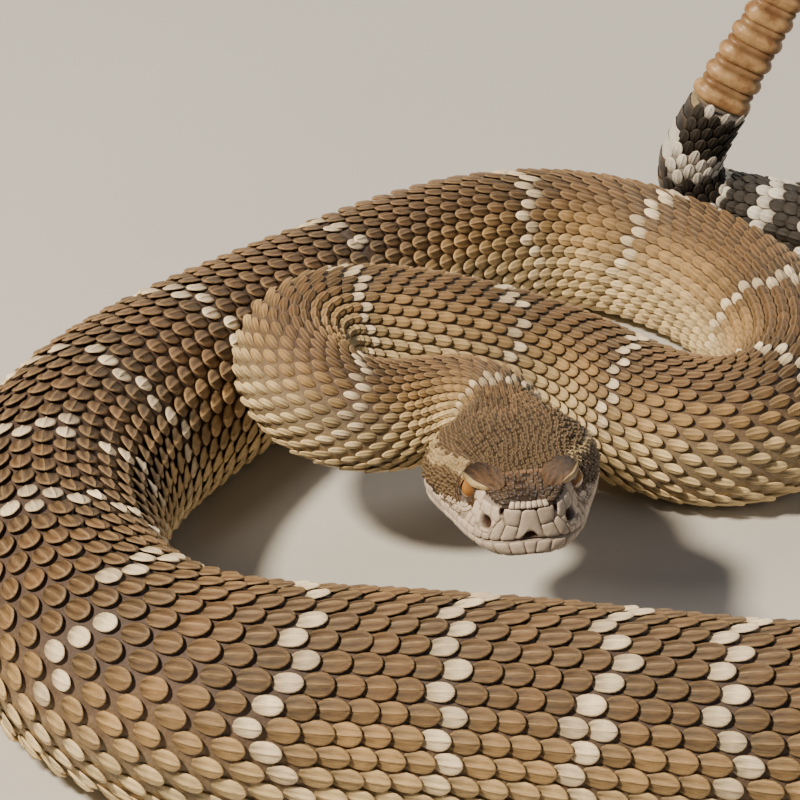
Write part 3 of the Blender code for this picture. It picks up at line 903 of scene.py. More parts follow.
def hollow_shade_shares(body_rows):
    """How far each point of the skin lies in a pit, a nostril, the notch or the mouth's line, from 0 to
    1: the share of painted shade that the skin's finish puts there.
    """
    depth = np.zeros((len(HEAD.grid) + body_rows, AROUND))
    lines = HEAD.line_of_columns()[None, :]
    x = HEAD.plain[..., 0]
    open_mouth = smooth_step(MOUTH_FROM - 1 * MM, MOUTH_FROM + 2 * MM, x)
    depth[:len(x)] = bell(lines, MOUTH_LINE, 0.22) * open_mouth
    for side in (1, -1):
        for place, size in ((PIT, PIT_SIZE), (NOSTRIL, [NOSTRIL_RADIUS] * 3), (NOTCH, NOTCH_SIZE)):
            reach = hollow_reach(HEAD.plain, place, size, side)
            depth[:len(x)] = np.maximum(depth[:len(x)], 1 - smooth_step(0.80, 1.30, reach))
    return depth


def make_pieces(name, table, shape, material, unevenness):
    """Sets one shape on every place of a table, in as many pieces as keep each of them light."""
    turns = turns_of(table["tailward"], table["outward"], table["lift"])
    order = np.argsort(table["bake"][:, 0], kind="stable")
    pieces = math.ceil(len(turns) / TEMPLATE_SCALES)
    made = []
    for number, chosen in enumerate(np.array_split(order, pieces), 1):
        values = {key: table[key][chosen] for key in ("marking", "chance")}
        values["bake"] = np.column_stack([table["bake"][chosen], np.zeros(len(chosen))])
        made.append(set_on_points("%s_%d" % (name, number), table["root"][chosen], turns[chosen],
                                  table["size"][chosen], values, shape, material, unevenness))
    return made


# Belly scutes: along one scute, share of the pitch and of the coat's depth, round its closed section
SCUTE_SECTION = ((-0.15, -0.30), (0.05, 0.30), (0.45, 0.66), (0.85, 0.88), (1.02, 0.95), (1.10, 0.80),
                 (1.06, 0.55), (0.50, 0.10), (-0.10, -0.50))
SCUTE_STEPS = 14
SCUTE_EDGE = math.radians(134)
SCUTE_BAKE = (0.362, 0.978)  # across the unwrap, where the scutes' left and right halves lie


def make_scutes(material):
    """The wide scutes of the belly, each overlapping the next."""
    rng = np.random.default_rng(SEED + 1)
    [cream] = colours("cream")
    total = int(SPINE.count[-1])
    ends = SPINE.along_of(np.arange(total + 1))
    share, raised = np.array(SCUTE_SECTION).T
    loop = len(share)
    each = (SCUTE_STEPS + 1) * loop
    turns = np.linspace(SCUTE_EDGE, 2 * math.pi - SCUTE_EDGE, SCUTE_STEPS + 1)
    along = ends[:-1, None] + share * np.diff(ends)[:, None]
    points = body_surface(along[:, None, :], turns[:, None], raised)
    faces = []
    for first in range(0, total * each, each):
        last = first + each - loop
        faces.extend(tube_faces(SCUTE_STEPS + 1, loop, first, turned=True))
        faces.append(tuple(range(first, first + loop)))
        faces.append(tuple(range(last, last + loop))[::-1])
    tone, chance = rng.random((total, 2)).T
    marking = tail_marks(cream * (0.94 + 0.12 * tone)[:, None], ends[:-1])
    across = (np.arange(SCUTE_STEPS + 1) / SCUTE_STEPS - 0.5) * 2
    leaf = np.stack(np.broadcast_arrays(share, across[:, None], 0.0), axis=-1).reshape(-1, 3)
    leaf = np.tile(leaf, (total, 1))
    places = np.repeat(bake_place_body(ends[:-1], np.zeros(total)), each, axis=0)
    places[:, 1] = np.where(leaf[:, 1] > 0, *SCUTE_BAKE)
    data = mesh_of("belly_scutes", points.reshape(-1, 3).tolist(), faces, material,
                   marking=np.repeat(marking, each, axis=0), leaf=leaf, chance=np.repeat(chance, each),
                   rim=smooth_step(0.75, 1.0, leaf[:, 0]), keel=np.zeros(len(leaf)))
    add_bake_map(data, places, leaf)
    return add_piece("belly_scutes", data)


# The head's small scales and plates

CROWN_ROWS = 19  # rows of small scales from the crown's middle to the lips, on each side
THROAT_ROWS = 9
CROWN_LINES = 6.3  # the crown's rows are spread over this many lines of the section
THROAT_FROM = 9.6  # and the throat's from this line to the chin's
CROWN_GRAIN = (0.86, 1.12)  # length and width of a scale as shares of the row's pitch and width
THROAT_GRAIN = (1.3, 1.12)
THROAT_THICK = 0.34  # in millimetres
FIRST_GRAINS, LAST_GRAINS = -1.6, 36.0  # the rows' ends, in millimetres from the neck


def head_pitch(x):
    """From one small scale to the next of its row, at a distance from the neck in millimetres."""
    return 1.8 - 0.75 * float(smooth_step(4, 30, x))


# Places on the head that plates fill, so no small scale grows there: x from and to, line from and to
PLATED = (
    (9.5, 43.0, 6.05, 9.9),
    (31.0, 43.0, -0.1, 1.5),
    (34.2, 43.0, -0.1, 9.9),
    (31.9, 43.0, 3.2, 9.9),
    (33.0, 43.0, 9.5, 13.1),
)
# Round the eye and under the brow, half the room that plates take each way
EYE_LINE = 4.55
EYE_ROOM = (3.5, 1.25)
BROW_ROOM = (5.0, 2.5)


def is_plated(x, line, y):
    """Whether lips, snout, brows or the scales round the eye fill a place of the head."""
    if any(first <= x <= last and low <= abs(line) <= high for first, last, low, high in PLATED):
        return True
    if math.hypot((x - EYE.x / MM) / EYE_ROOM[0], (abs(line) - EYE_LINE) / EYE_ROOM[1]) < 1.0:
        return True
    ahead = x - BROW.x / MM
    aside = abs(y) - BROW.y / MM
    cos, sin = math.cos(BROW_TOE_IN), math.sin(BROW_TOE_IN)
    long_way = (ahead * cos - aside * sin) / BROW_ROOM[0]
    wide_way = (ahead * sin + aside * cos) / BROW_ROOM[1]
    return abs(line) < 3.7 and math.hypot(long_way, wide_way) < 1.0


@functools.lru_cache(maxsize=None)
def lay_head_scales():
    """Roots, turns, sizes and markings of the small scales of crown, cheeks and throat."""
    rng = np.random.default_rng(SEED + 2)
    found = []
    high = settings().grain_height / MM
    x = FIRST_GRAINS
    while x < LAST_GRAINS:
        pitch = head_pitch(x)
        girth = HEAD.girth[HEAD.ring_at(max(x, 0.0) * MM)] / MM
        width = float(np.interp(CROWN_LINES, HEAD.shares, girth)) / CROWN_ROWS
        throat = (girth[-1] - float(np.interp(THROAT_FROM, HEAD.shares, girth))) / THROAT_ROWS
        for step in range(-CROWN_ROWS, CROWN_ROWS + 1):
            wander = 0.5 * math.sin(0.40 * x + 0.30 * step)
            arc = (abs(step + wander) + 0.10 * rng.normal()) * width
            spot = x + (0.5 * (step % 2) + 0.11 * rng.normal()) * pitch
            long, wide = CROWN_GRAIN[0] * pitch, CROWN_GRAIN[1] * width
            found.append((spot, arc, step + wander >= 0, long, wide, high))
        for step in range(-THROAT_ROWS, THROAT_ROWS + 1):
            spot = x + 0.5 * (step % 2) * pitch
            arc = girth[-1] - abs(step) * throat
            long, wide = THROAT_GRAIN[0] * pitch, THROAT_GRAIN[1] * throat
            if spot > 1.0:
                found.append((spot, arc, step > 0, long, wide, THROAT_THICK))
        x += pitch
    kept = []
    for spot, arc, on_left, length, across, thick in found:
        girth = HEAD.girth[HEAD.ring_at(max(spot, 0.0) * MM)] / MM
        line = float(np.interp(abs(arc), girth, HEAD.shares)) * (1 if on_left else -1)
        if not is_plated(spot, line, HEAD.at(max(spot, 0.0) * MM, line)[1] / MM):
            on_cheek = float(smooth_step(2.6, 3.6, abs(line))) * (abs(line) < 9)
            size = rng.normal(1.0, 0.07) * (1.17 + 0.30 * on_cheek)
            kept.append((spot, line, length * size, across * size, thick))
    x, line, *size = np.array(kept).T
    x = x * MM
    size = np.stack(size, axis=-1) * MM
    place, tailward, outward = HEAD.frames(np.maximum(x, 0.0), line)
    place = place - tailward * np.minimum(x, 0.0)[:, None]
    root = place - tailward * (size[:, 0] * 0.5)[:, None]
    return {
        "root": to_world(root), "tailward": turn_to_world(tailward), "outward": turn_to_world(outward),
        "lift": rng.normal(math.radians(1.0), math.radians(2.0), len(x)), "size": size,
        "marking": head_marks(x, line, rng), "bake": bake_place_head(x, line),
        "chance": rng.random(len(x)), "middle": to_world(place),
    }


# A plate's section from its sunk root to its middle: share of the way in, share of its height
PLATE_RISE = ((0.0, -0.9), (0.015, 0.30), (0.05, 0.74), (0.13, 0.96), (0.42, 1.04), (0.75, 1.06))
PLATE_POINTS = 28
CORNER_CUT = 0.11  # share of each side that a corner's rounding takes
CAST_FROM = 12 * MM  # plates are laid by looking at the skin from this far
CREASE = 0.03  # between two plates twice this many millimetres stay open
# Millimetres for one step of the two coordinates: on the side, x and line; round the snout's
# front, degrees and height; round the eye, degrees and shares of its radius
ON_SIDE = (1.0, 1.9)
ON_FRONT = (0.14, 1.0)
ROUND_EYE = (0.06, 2.6)
# Each kind's height at the rim, and how much more its middle bulges, in millimetres
LIP_PLATE = (0.26, 0.08)
ROSTRAL_PLATE = (0.27, 0.12)
CHIN_PLATE = (0.24, 0.06)
FRONT_PLATE = (0.25, 0.08)
LOREAL_PLATE = (0.24, 0.06)
SHIELD_PLATE = (0.24, 0.08)
UPRIGHT_PLATE = (0.30, 0.14)
SNOUT_TOP_PLATE = (0.34, 0.08)
EYE_RING_PLATE = (0.26, 0.0)
FRONT_AXIS = 34.0  # the front's turns are counted round a line this far from the neck


def rounded(outline, units):
    """A closed outline with its corners cut twice and its points set evenly."""
    points = np.array(outline, dtype=float) * units
    for _ in range(2):
        after = np.roll(points, -1, axis=0)
        pairs = [share * points + (1 - share) * after for share in (1 - CORNER_CUT, CORNER_CUT)]
        points = np.stack(pairs, axis=1).reshape(-1, 2)
    loop = np.vstack([points, points[:1]])
    travel = np.concatenate([[0.0], np.cumsum(np.linalg.norm(np.diff(loop, axis=0), axis=1))])
    spots = np.linspace(0, travel[-1], PLATE_POINTS, endpoint=False)
    even = np.stack([np.interp(spots, travel, loop[:, axis]) for axis in range(2)], axis=-1)
    return even / units


def eye_axes(side):
    """The eye's middle, the way it looks, the way ahead across it and the way up across it."""
    out = Vector((0.30, 0.95 * side, 0.10)).normalized()
    up = (Vector((0, 0, 1)) - out * out.z).normalized()
    ahead = up.cross(out)
    if ahead.x < 0:
        ahead = -ahead
    return Vector((EYE.x, EYE.y * side, EYE.z)), out, ahead.normalized(), up


class Plates:
    """Collects the plates of the head into one mesh."""

    def __init__(self):
        self.points = []
        self.faces = []
        self.marks = []
        self.places = []
        self.chances = []
        self.rng = np.random.default_rng(SEED + 3)
        data = grid_data("front", HEAD.plain, closed_start=True)
        self.skin = BVHTree.FromPolygons([tuple(vertex.co) for vertex in data.vertices],
                                         [tuple(face.vertices) for face in data.polygons])
        bpy.data.meshes.remove(data)

    def cast(self, starts, ways):
        """Where rays meet the head's skin, and the outward way there."""
        places = []
        outward = []
        for start, way in zip(starts, ways):
            hit, normal, _, _ = self.skin.ray_cast(start, way, 1.0)
            if hit is None:
                hit, normal, _, _ = self.skin.find_nearest(start + way * CAST_FROM)
            places.append(tuple(hit))
            outward.append(tuple(normal if normal.dot(way) < 0 else -normal))
        outward = np.array(outward)
        return np.array(places), unit(outward + 1.2 * unit(outward.mean(axis=0)))

    def project(self, spots, units, side):
        """Places and outward ways of spots that are given in one of the three ways."""
        if units is ON_SIDE:
            place, _, outward = HEAD.frames(spots[:, 0] * MM, spots[:, 1] * side)
            return place, outward
        if units is ON_FRONT:
            turns = np.radians(spots[:, 0] * side)
            ways = [Vector((-math.cos(turn), -math.sin(turn), 0.0)) for turn in turns]
            axis = [Vector((FRONT_AXIS * MM, 0.0, high * MM)) for high in spots[:, 1]]
            return self.cast([middle - way * 20 * MM for middle, way in zip(axis, ways)], ways)
        middle, out, ahead, up = eye_axes(side)
        starts = []
        for bearing, reach in spots:
            turn = math.radians(bearing)
            spoke = ahead * math.cos(turn) + up * math.sin(turn)
            starts.append(middle + out * CAST_FROM + spoke * reach * EYE_RADIUS)
        return self.cast(starts, [-out] * len(spots))

    def add(self, units, outline, kind, colour=None, side=1):
        """One plate of a kind, with a rounded rim over an outline."""
        height, bulge = kind
        rim = rounded(outline, np.array(units))
        middle = rim.mean(axis=0)
        place, outward = self.project(rim, units, side)
        spokes = place - place.mean(axis=0)
        turned = np.cross(spokes, np.roll(spokes, -1, axis=0)).sum(axis=0)
        if turned @ outward.mean(axis=0) < 0:
            rim = rim[::-1]
        rim = middle + (rim - middle) * (1 - CREASE * MM / np.linalg.norm(spokes, axis=1).mean())
        first = len(self.points)
        rings = []
        for inward, rise in PLATE_RISE:
            place, outward = self.project(rim + (middle - rim) * inward, units, side)
            raised = height * rise + bulge * (1 - (1 - inward) ** 2) if rise > 0 else height * rise
            rings.append(place + outward * raised * MM)
        centre = rings[-1].mean(axis=0)
        way = outward.mean(axis=0)
        tips = np.stack([centre + way * 0.02 * MM, centre - way * 2.2 * height * MM])
        self.points.extend(to_world(np.concatenate(rings + [tips])).tolist())
        count = PLATE_POINTS
        self.faces.extend(tube_faces(len(PLATE_RISE), count, first))
        last = first + (len(PLATE_RISE) - 1) * count
        crest = first + len(PLATE_RISE) * count
        for index in range(count):
            after = (index + 1) % count
            self.faces.append((last + index, last + after, crest))
            self.faces.append((first + after, first + index, crest + 1))
        x, line = HEAD.where(centre)
        if colour is None:
            colour = head_marks(np.array([x]), np.array([line]), self.rng)[0]
        self.marks.append(colour)
        self.places.append(bake_place_head(x, line))
        self.chances.append(self.rng.random())

    def pair(self, units, outline, kind, colour=None):
        """The same plate on the left and on the right of the head."""
        for side in (1, -1):
            self.add(units, outline, kind, colour, side)

    def finish(self, name, material):
        """The one piece of all the plates."""
        rim = []
        leaf = []
        for inward, _ in PLATE_RISE + ((1.0, 1.0), (1.0, -1.0)):
            out = 1 - inward
            for index in range(PLATE_POINTS if inward < 1.0 else 1):
                turn = 2 * math.pi * index / PLATE_POINTS
                rim.append(out ** 6)
                leaf.append((0.5 + 0.4 * out * math.cos(turn), out * math.sin(turn), 0.0))
        marks, places, chances = (
            np.repeat(values, len(rim), axis=0) for values in (self.marks, self.places, self.chances))
        leaf = np.tile(leaf, (len(self.marks), 1))
        data = mesh_of(name, self.points, self.faces, material, marking=marks, leaf=leaf,
                       chance=chances, rim=np.tile(rim, len(self.marks)), keel=np.zeros(len(leaf)))
        add_bake_map(data, places, leaf)
        return add_piece(name, data)


LIP_FRONT = 36.6  # from here back the lips' plates are laid along the side
UPPER_LIPS = 12  # plates along the upper lip from there, on each side
LOWER_LIPS = 11
LIP_BACK = 11.5  # the last plate ends this far from the neck


def add_lips(plates):
    """Rows of plates along the upper and the lower lip."""
    rows = ((UPPER_LIPS, 7.45, 6.2, -1), (LOWER_LIPS, 8.55, 9.85, 1))
    for total, mouth, edge, way in rows:
        ends = LIP_FRONT - (LIP_FRONT - LIP_BACK) * (np.arange(total + 1) / total) ** 0.95
        for number, (first, last) in enumerate(zip(ends, ends[1:])):
            bow = 0.20 * math.sin(math.pi * (number + 0.5) / total)
            far = edge + way * (0.12 * (number % 2) - bow)
            outline = ((first, mouth), (last, mouth), (last + 0.15, far), (first + 0.15, far))
            plates.pair(ON_SIDE, outline, LIP_PLATE)


# The pale plates of the snout's front that come in pairs, in degrees round it and height
FRONT_PAIRS = (
    ((20, -0.7), (14.5, 1.8), (30, 2.3), (38, -0.88)),
    ((14.5, 1.8), (9.3, 5.2), (32.5, 5.4), (33.2, 4.3), (31.5, 3.2), (30, 2.3)),
    ((38.5, 5.4), (52, 5.3), (50.5, 3.3), (41, 2.4), (35.5, 3.3), (38.5, 4.4)),
    ((38, -0.88), (30, 2.3), (35.5, 3.2), (41, 2.3), (45, 1.4), (50, -1.1)),
    ((41, 2.4), (47.5, 3.1), (48.5, 1.2), (45.5, 1.35)),
    ((50, 0.2), (50.5, 0.85), (66, 0.80), (66, -0.15)),
    ((52, 5.3), (75, 5.3), (74, 3.1), (50.5, 3.1)),
    ((50.2, -1.1), (46, 1.2), (50, 0.2), (60, 0.0), (62, -1.4)),
    ((62, -1.4), (60, 0.0), (66, -0.15), (76, 0.6), (77, -1.8)),
    ((69.5, 3.1), (79, 3.1), (80, 0.7), (69, 0.8)),
    ((9.2, -1.12), (28, -1.22), (24, -3.7), (5.7, -3.6)),
    ((28, -1.22), (46, -1.45), (42, -3.9), (24, -3.7)),
    ((46, -1.45), (62, -1.8), (59, -4.1), (42, -3.9)),
    ((62, -1.8), (78, -2.15), (75, -4.3), (59, -4.1)),
)
# The two in the middle, above and below the mouth
ROSTRAL = ((-9, 5.2), (9, 5.2), (14.3, 1.8), (19.8, -0.75), (13, -0.65), (9, 0.5), (0, 0.98),
           (-9, 0.5), (-13, -0.65), (-19.8, -0.75), (-14.3, 1.8))
CHIN = ((-9, -1.1), (9, -1.1), (5.5, -3.6), (-5.5, -3.6))
# Under the chin, in x and line
CHIN_SHIELDS = (
    ((40.2, 10.5), (37.8, 10.15), (37.8, 11.5), (40.0, 11.5)),
    ((39.9, 11.55), (37.8, 11.55), (37.8, 12.95), (39.9, 12.95)),
    ((37.7, 10.1), (35.2, 10.05), (35.2, 11.5), (37.7, 11.5)),
    ((37.7, 11.55), (35.2, 11.55), (35.2, 12.95), (37.7, 12.95)),
    ((35.1, 10.0), (32.6, 10.0), (32.6, 11.5), (35.1, 11.5)),
    ((35.1, 11.55), (32.6, 11.55), (32.6, 12.95), (35.1, 12.95)),
)
UPRIGHTS = 7  # small pale plates that stand over the front ones
UPRIGHT_WIDE = 7.6  # degrees round the snout that each of them takes
UPRIGHT_FROM, UPRIGHT_TO = 5.3, 6.35  # their lower and upper edges' heights
# Between the snout's front and the eye, in x and line
LOREAL = (
    ((36.3, 3.25), (33.6, 3.25), (34.1, 4.25), (36.2, 4.45)),
    ((36.2, 4.5), (34.1, 4.3), (34.0, 5.3), (36.0, 5.4)),
    ((36.4, 5.45), (34.9, 5.4), (34.8, 6.15), (36.5, 6.2)),
    ((34.8, 5.4), (33.6, 5.3), (33.0, 6.15), (34.7, 6.15)),
)


def add_front(plates):
    """The plates of the snout's front, the lips' first ones and those before the eye."""
    [white] = colours("face_white")
    plates.add(ON_FRONT, ROSTRAL, ROSTRAL_PLATE, white)
    plates.add(ON_FRONT, CHIN, CHIN_PLATE, white)
    for outline in FRONT_PAIRS:
        plates.pair(ON_FRONT, outline, FRONT_PLATE, white)
    for outline in LOREAL:
        plates.pair(ON_SIDE, outline, LOREAL_PLATE, white)
    for outline in CHIN_SHIELDS:
        plates.pair(ON_SIDE, outline, SHIELD_PLATE, white * (0.95, 0.90, 0.80))
    for number in range(UPRIGHTS):
        left = UPRIGHT_WIDE * (number - UPRIGHTS / 2)
        right = UPRIGHT_WIDE * (number + 1 - UPRIGHTS / 2)
        low, high = UPRIGHT_FROM, UPRIGHT_TO
        outline = ((left, low), (right, low), (right, high), (left, high))
        plates.add(ON_FRONT, outline, UPRIGHT_PLATE, white * 0.95)


# Rows of plates over the snout's top: x from, half width in lines, share of the crown's brown
SNOUT_ROWS = ((40.9, 3.1, 0.35), (39.7, 3.1, 0.45), (38.5, 3.1, 0.55), (37.3, 3.1, 0.95),
              (36.1, 1.9, 1.1), (34.9, 1.5, 0.9), (33.7, 1.5, 1.2), (32.5, 1.5, 2.6), (31.3, 1.5, 1.0))
SNOUT_PLATE = 1.35  # width of one of them in millimetres


def add_snout_top(plates):
    """Small uneven plates over the top of the snout, dark in front and pale in the last row."""
    [brown] = colours("head_brown")
    rng = np.random.default_rng(SEED + 4)
    for number, ((first, reach, tone), (last, _, _)) in enumerate(zip(SNOUT_ROWS, SNOUT_ROWS[1:])):
        girth = HEAD.girth[HEAD.ring_at(first * MM)] / MM
        wide = float(np.interp(reach, HEAD.shares, girth))
        total = 2 * round(wide / SNOUT_PLATE) + number % 2
        arcs = np.linspace(-wide, wide, total + 1)
        arcs[1:-1] += rng.normal(0, 0.12, total - 1)
        lines = np.interp(np.abs(arcs), girth, HEAD.shares) * np.sign(arcs)
        bend = rng.normal(0, 0.10, total + 1)
        for index in range(total):
            low, high = lines[index:index + 2]
            near, far = bend[index:index + 2]
            if low < 0 < high and number % 2 == 0:
                continue
            shade = tone * rng.uniform(0.75, 1.3)
            outline = ((first + near, low), (last + near, low), (last + far, high), (first + far, high))
            plates.add(ON_SIDE, outline, SNOUT_TOP_PLATE, np.minimum(brown * shade, 0.6))


EYE_RING = 9  # small plates below, before and behind the eye, in each of two rings
EYE_RING_FROM, EYE_RING_TO = 150.0, 392.0  # in degrees round the eye
EYE_RINGS = ((1.10, 1.36, 0.0), (1.37, 1.66, 0.5))  # from and to in eye radii, shift in plates


def add_eye_rings(plates):
    """A ring of small plates round each eye, open under the brow."""
    ends = np.linspace(EYE_RING_FROM, EYE_RING_TO, EYE_RING + 1)
    for first, last in zip(ends, ends[1:]):
        for inner, outer, shift in EYE_RINGS:
            start, end = first + shift * (last - first), last + shift * (last - first)
            outline = ((start, inner), (end, inner), (end, outer), (start, outer))
            plates.pair(ROUND_EYE, outline, EYE_RING_PLATE)


BROW_LONG = 11.4 * MM
BROW_WIDE = 6.2 * MM
BROW_HIGH = 1.8 * MM
BROW_SUNK = 0.25 * MM  # so much lower than the solid's plate, so that the crown's scales meet it
BROW_TOE_IN = math.radians(25)
BROW_SLANT = math.radians(12)
BROW_RINGS = 28
BROW_AROUND = 96
BROW_LINE = 2.6  # the line of the section that it lies over


def ball_angles(rings, around):
    """The tilt from the pole and the bearing of each point of a ball."""
    for ring in range(rings + 1):
        for index in range(around):
            yield math.pi * ring / rings, 2 * math.pi * index / around


def power(value, exponent):
    """A power of a number's size, with the number's sign."""
    return math.copysign(abs(value) ** exponent, value)


def brow_relief(long_way, wide_way, outer, side):
    """The brow's ridge and dent along its outer edge, and its folds and cracks."""
    ridge = 0.75 * bell(outer, 0.84, 0.15) - 0.30 * bell(outer, 0.40, 0.28)
    crack = math.sin(4.0 * long_way + 2.2 * math.sin(3.1 * wide_way + side))
    fold = math.sin(13 * wide_way + 3 * long_way + 1.4 * math.sin(5 * long_way))
    return ridge, 0.07 * fold - 0.16 * bell(crack, 0.4, 0.16)


def make_brows(material):
    """The large plates over the eyes, each a flat oval with a ridge along its outer edge."""
    brown, edge = colours("head_brown", "stripe_cream")
    points = []
    faces = []
    marks = []
    leaf = []
    places = []
    for side in (1, -1):
        toe_in = Matrix.Rotation(-BROW_TOE_IN * side, 4, "Z")
        slant = Matrix.Rotation(-BROW_SLANT * side, 4, "X")
        place = Matrix.Translation((BROW.x, BROW.y * side, BROW.z - BROW_SUNK)) @ (toe_in @ slant)
        faces.extend(tube_faces(BROW_RINGS + 1, BROW_AROUND, len(points), turned=True))
        for tilt, bearing in ball_angles(BROW_RINGS, BROW_AROUND):
            reach = math.sin(tilt) ** 0.55
            high = power(math.cos(tilt), 0.9)
            above = 1 if high > 0 else 0
            long_way = power(math.cos(bearing), 0.74) * reach
            wide_way = power(math.sin(bearing), 0.74) * reach
            outer = max(0.0, wide_way * side)
            ridge, folds = (above * part for part in brow_relief(long_way, wide_way, outer, side))
            taper = 1 - 0.36 * max(0.0, long_way) ** 1.5 - 0.14 * max(0.0, -long_way)
            points.append(place @ Vector((
                BROW_LONG / 2 * long_way * (1 - 0.10 * outer),
                BROW_WIDE / 2 * wide_way * taper,
                BROW_HIGH / 2 * (0.66 * high + (ridge + folds) * min(1.0, reach * 1.2)),
            )))
            pale = float(smooth_step(0.66, 0.86, outer)) * (1 if high > -0.4 else 0.3)
            marks.append(1.75 * brown * (1.0 + 2.5 * folds) * (1 - pale) + edge * 1.35 * pale)
            leaf.append((0.5 + 0.45 * long_way, wide_way, 0.0))
            places.append(bake_place_head(BROW.x, BROW_LINE * side))
    even = np.zeros(len(points))
    data = mesh_of("brow_plates", to_world(np.array(points)).tolist(), faces, material,
                   marking=marks, leaf=leaf, chance=even + 0.5, rim=even, keel=even)
    add_bake_map(data, np.array(places), np.array(leaf))
    return add_piece("brow_plates", data)


EYE_TURNS = 40
EYE_AROUND = 64
EYE_FILL = 0.97  # the ball's radius as a share of the socket's
CORNEA = 0.035  # the clear front bulges by this share of the radius


def make_eyes(material):
    """Eyeballs with an upright pupil, each with its own directions kept as an attribute."""
    made = []
    for name, side in (("left", 1), ("right", -1)):
        middle, out, ahead, up = eye_axes(side)
        middle = middle - out * settings().eye_sunk
        points = []
        gaze = []
        for tilt, bearing in ball_angles(EYE_TURNS, EYE_AROUND):
            x = math.sin(tilt) * math.cos(bearing)
            y = math.sin(tilt) * math.sin(bearing)
            z = math.cos(tilt)
            bulge = 1 + CORNEA * bell(math.hypot(x, y), 0.0, 0.45) * (1 if z > 0 else 0)
            points.append(middle + (ahead * x + up * y + out * z) * EYE_RADIUS * EYE_FILL * bulge)
            gaze.append((x, y, z))
        faces = tube_faces(EYE_TURNS + 1, EYE_AROUND, turned=True)
        if side > 0:
            faces = [face[::-1] for face in faces]
        places = to_world(np.array(points)).tolist()
        data = mesh_of("eyeball_" + name, places, faces, material, gaze=gaze)
        made.append(add_piece("eyeball_" + name, data))
    return made


# The rattle: loosely interlocked rings, each a pair of lobes, tapering to the button
RING_PITCH = 5.1 * MM
RING_HEIGHT = 6.6 * MM
RING_THICK = 4.2 * MM
RING_TAPER = 0.955  # each ring's size as a share of the one before it
RING_TILT = 0.012  # the rings stand unevenly by about this angle
LOBE_GROOVE = 0.16  # depth of the groove between the two lobes
GAP = 0.3 * MM  # between the tail and the rattle
# Along one ring, outside and back inside: share of the pitch, share of the ring's size
RING_SECTION = ((0.02, 0.70), (0.03, 0.80), (0.08, 0.90), (0.16, 0.965), (0.28, 1.0), (0.42, 0.995),
                (0.52, 0.95), (0.60, 0.875), (0.68, 0.85), (0.76, 0.875), (0.84, 0.90), (0.91, 0.885),
                (0.96, 0.84), (0.99, 0.76), (1.03, 0.70), (1.03, 0.40), (0.02, 0.40))
BUTTON_SECTION = ((0.0, 0.60), (0.03, 0.72), (0.15, 0.82), (0.30, 0.85), (0.50, 0.82), (0.66, 0.74),
                  (0.82, 0.58), (0.93, 0.38), (0.99, 0.18), (1.0, 0.02), (0.0, 0.02))
BUTTON_LENGTH = 4.2 * MM
RATTLE_SIDES = 56


def ring_mesh(name, section):
    """One ring of the rattle in unit sizes: X along it, Y its thickness, Z its height."""
    points = []
    leaf = []
    for share, swell in section:
        for index in range(RATTLE_SIDES):
            angle = 2 * math.pi * index / RATTLE_SIDES
            groove = 1 - LOBE_GROOVE * abs(math.sin(angle)) ** 6
            across = swell * groove * math.sin(angle)
            points.append((share, across, swell * power(math.cos(angle), 0.85)))
            leaf.append((share, swell, 0.0))
    faces = np.array(tube_faces(len(section) + 1, RATTLE_SIDES)) % len(points)
    return mesh_of(name, points, faces[:, ::-1].tolist(), leaf=leaf)


def make_rattle(material):
    """The rings, each a little smaller than the one before, and the button at their end."""
    middle, heading, back, side, _ = (values[0] for values in SPINE.frames(np.array([SPINE.length])))
    turn = np.array(tuple(Matrix((heading, -side, back)).transposed().to_euler()))
    total = settings().rattle_rings
    numbers = np.arange(total + 1)
    starts = middle + heading * (GAP / 2 + numbers * RING_PITCH)[:, None]
    sizes = RING_TAPER ** numbers
    longs = np.append(np.full(total, RING_PITCH), BUTTON_LENGTH)
    sizes = np.column_stack([longs, RING_THICK * sizes, RING_HEIGHT * sizes])
    rng = np.random.default_rng(SEED + 4)
    turns = turn + rng.normal(0, RING_TILT, (total, 3))
    bake = numbers[:-1, None] / 10 * (1.0, 1.0, 0.0)
    values = {"chance": rng.random(total), "bake": bake}
    rings = set_on_points("rattle_rings", starts[:-1], turns, sizes[:-1], values,
                          ring_mesh("rattle_ring", RING_SECTION), material, 0.0)
    values = {"chance": np.array([0.4]), "bake": np.array([[0.9, 0.9, 0.0]])}
    button = set_on_points("rattle_button", starts[-1:], turn[None], sizes[-1:], values,
                           ring_mesh("button", BUTTON_SECTION), material, 0.0)
    return [rings, button]


# Finishes

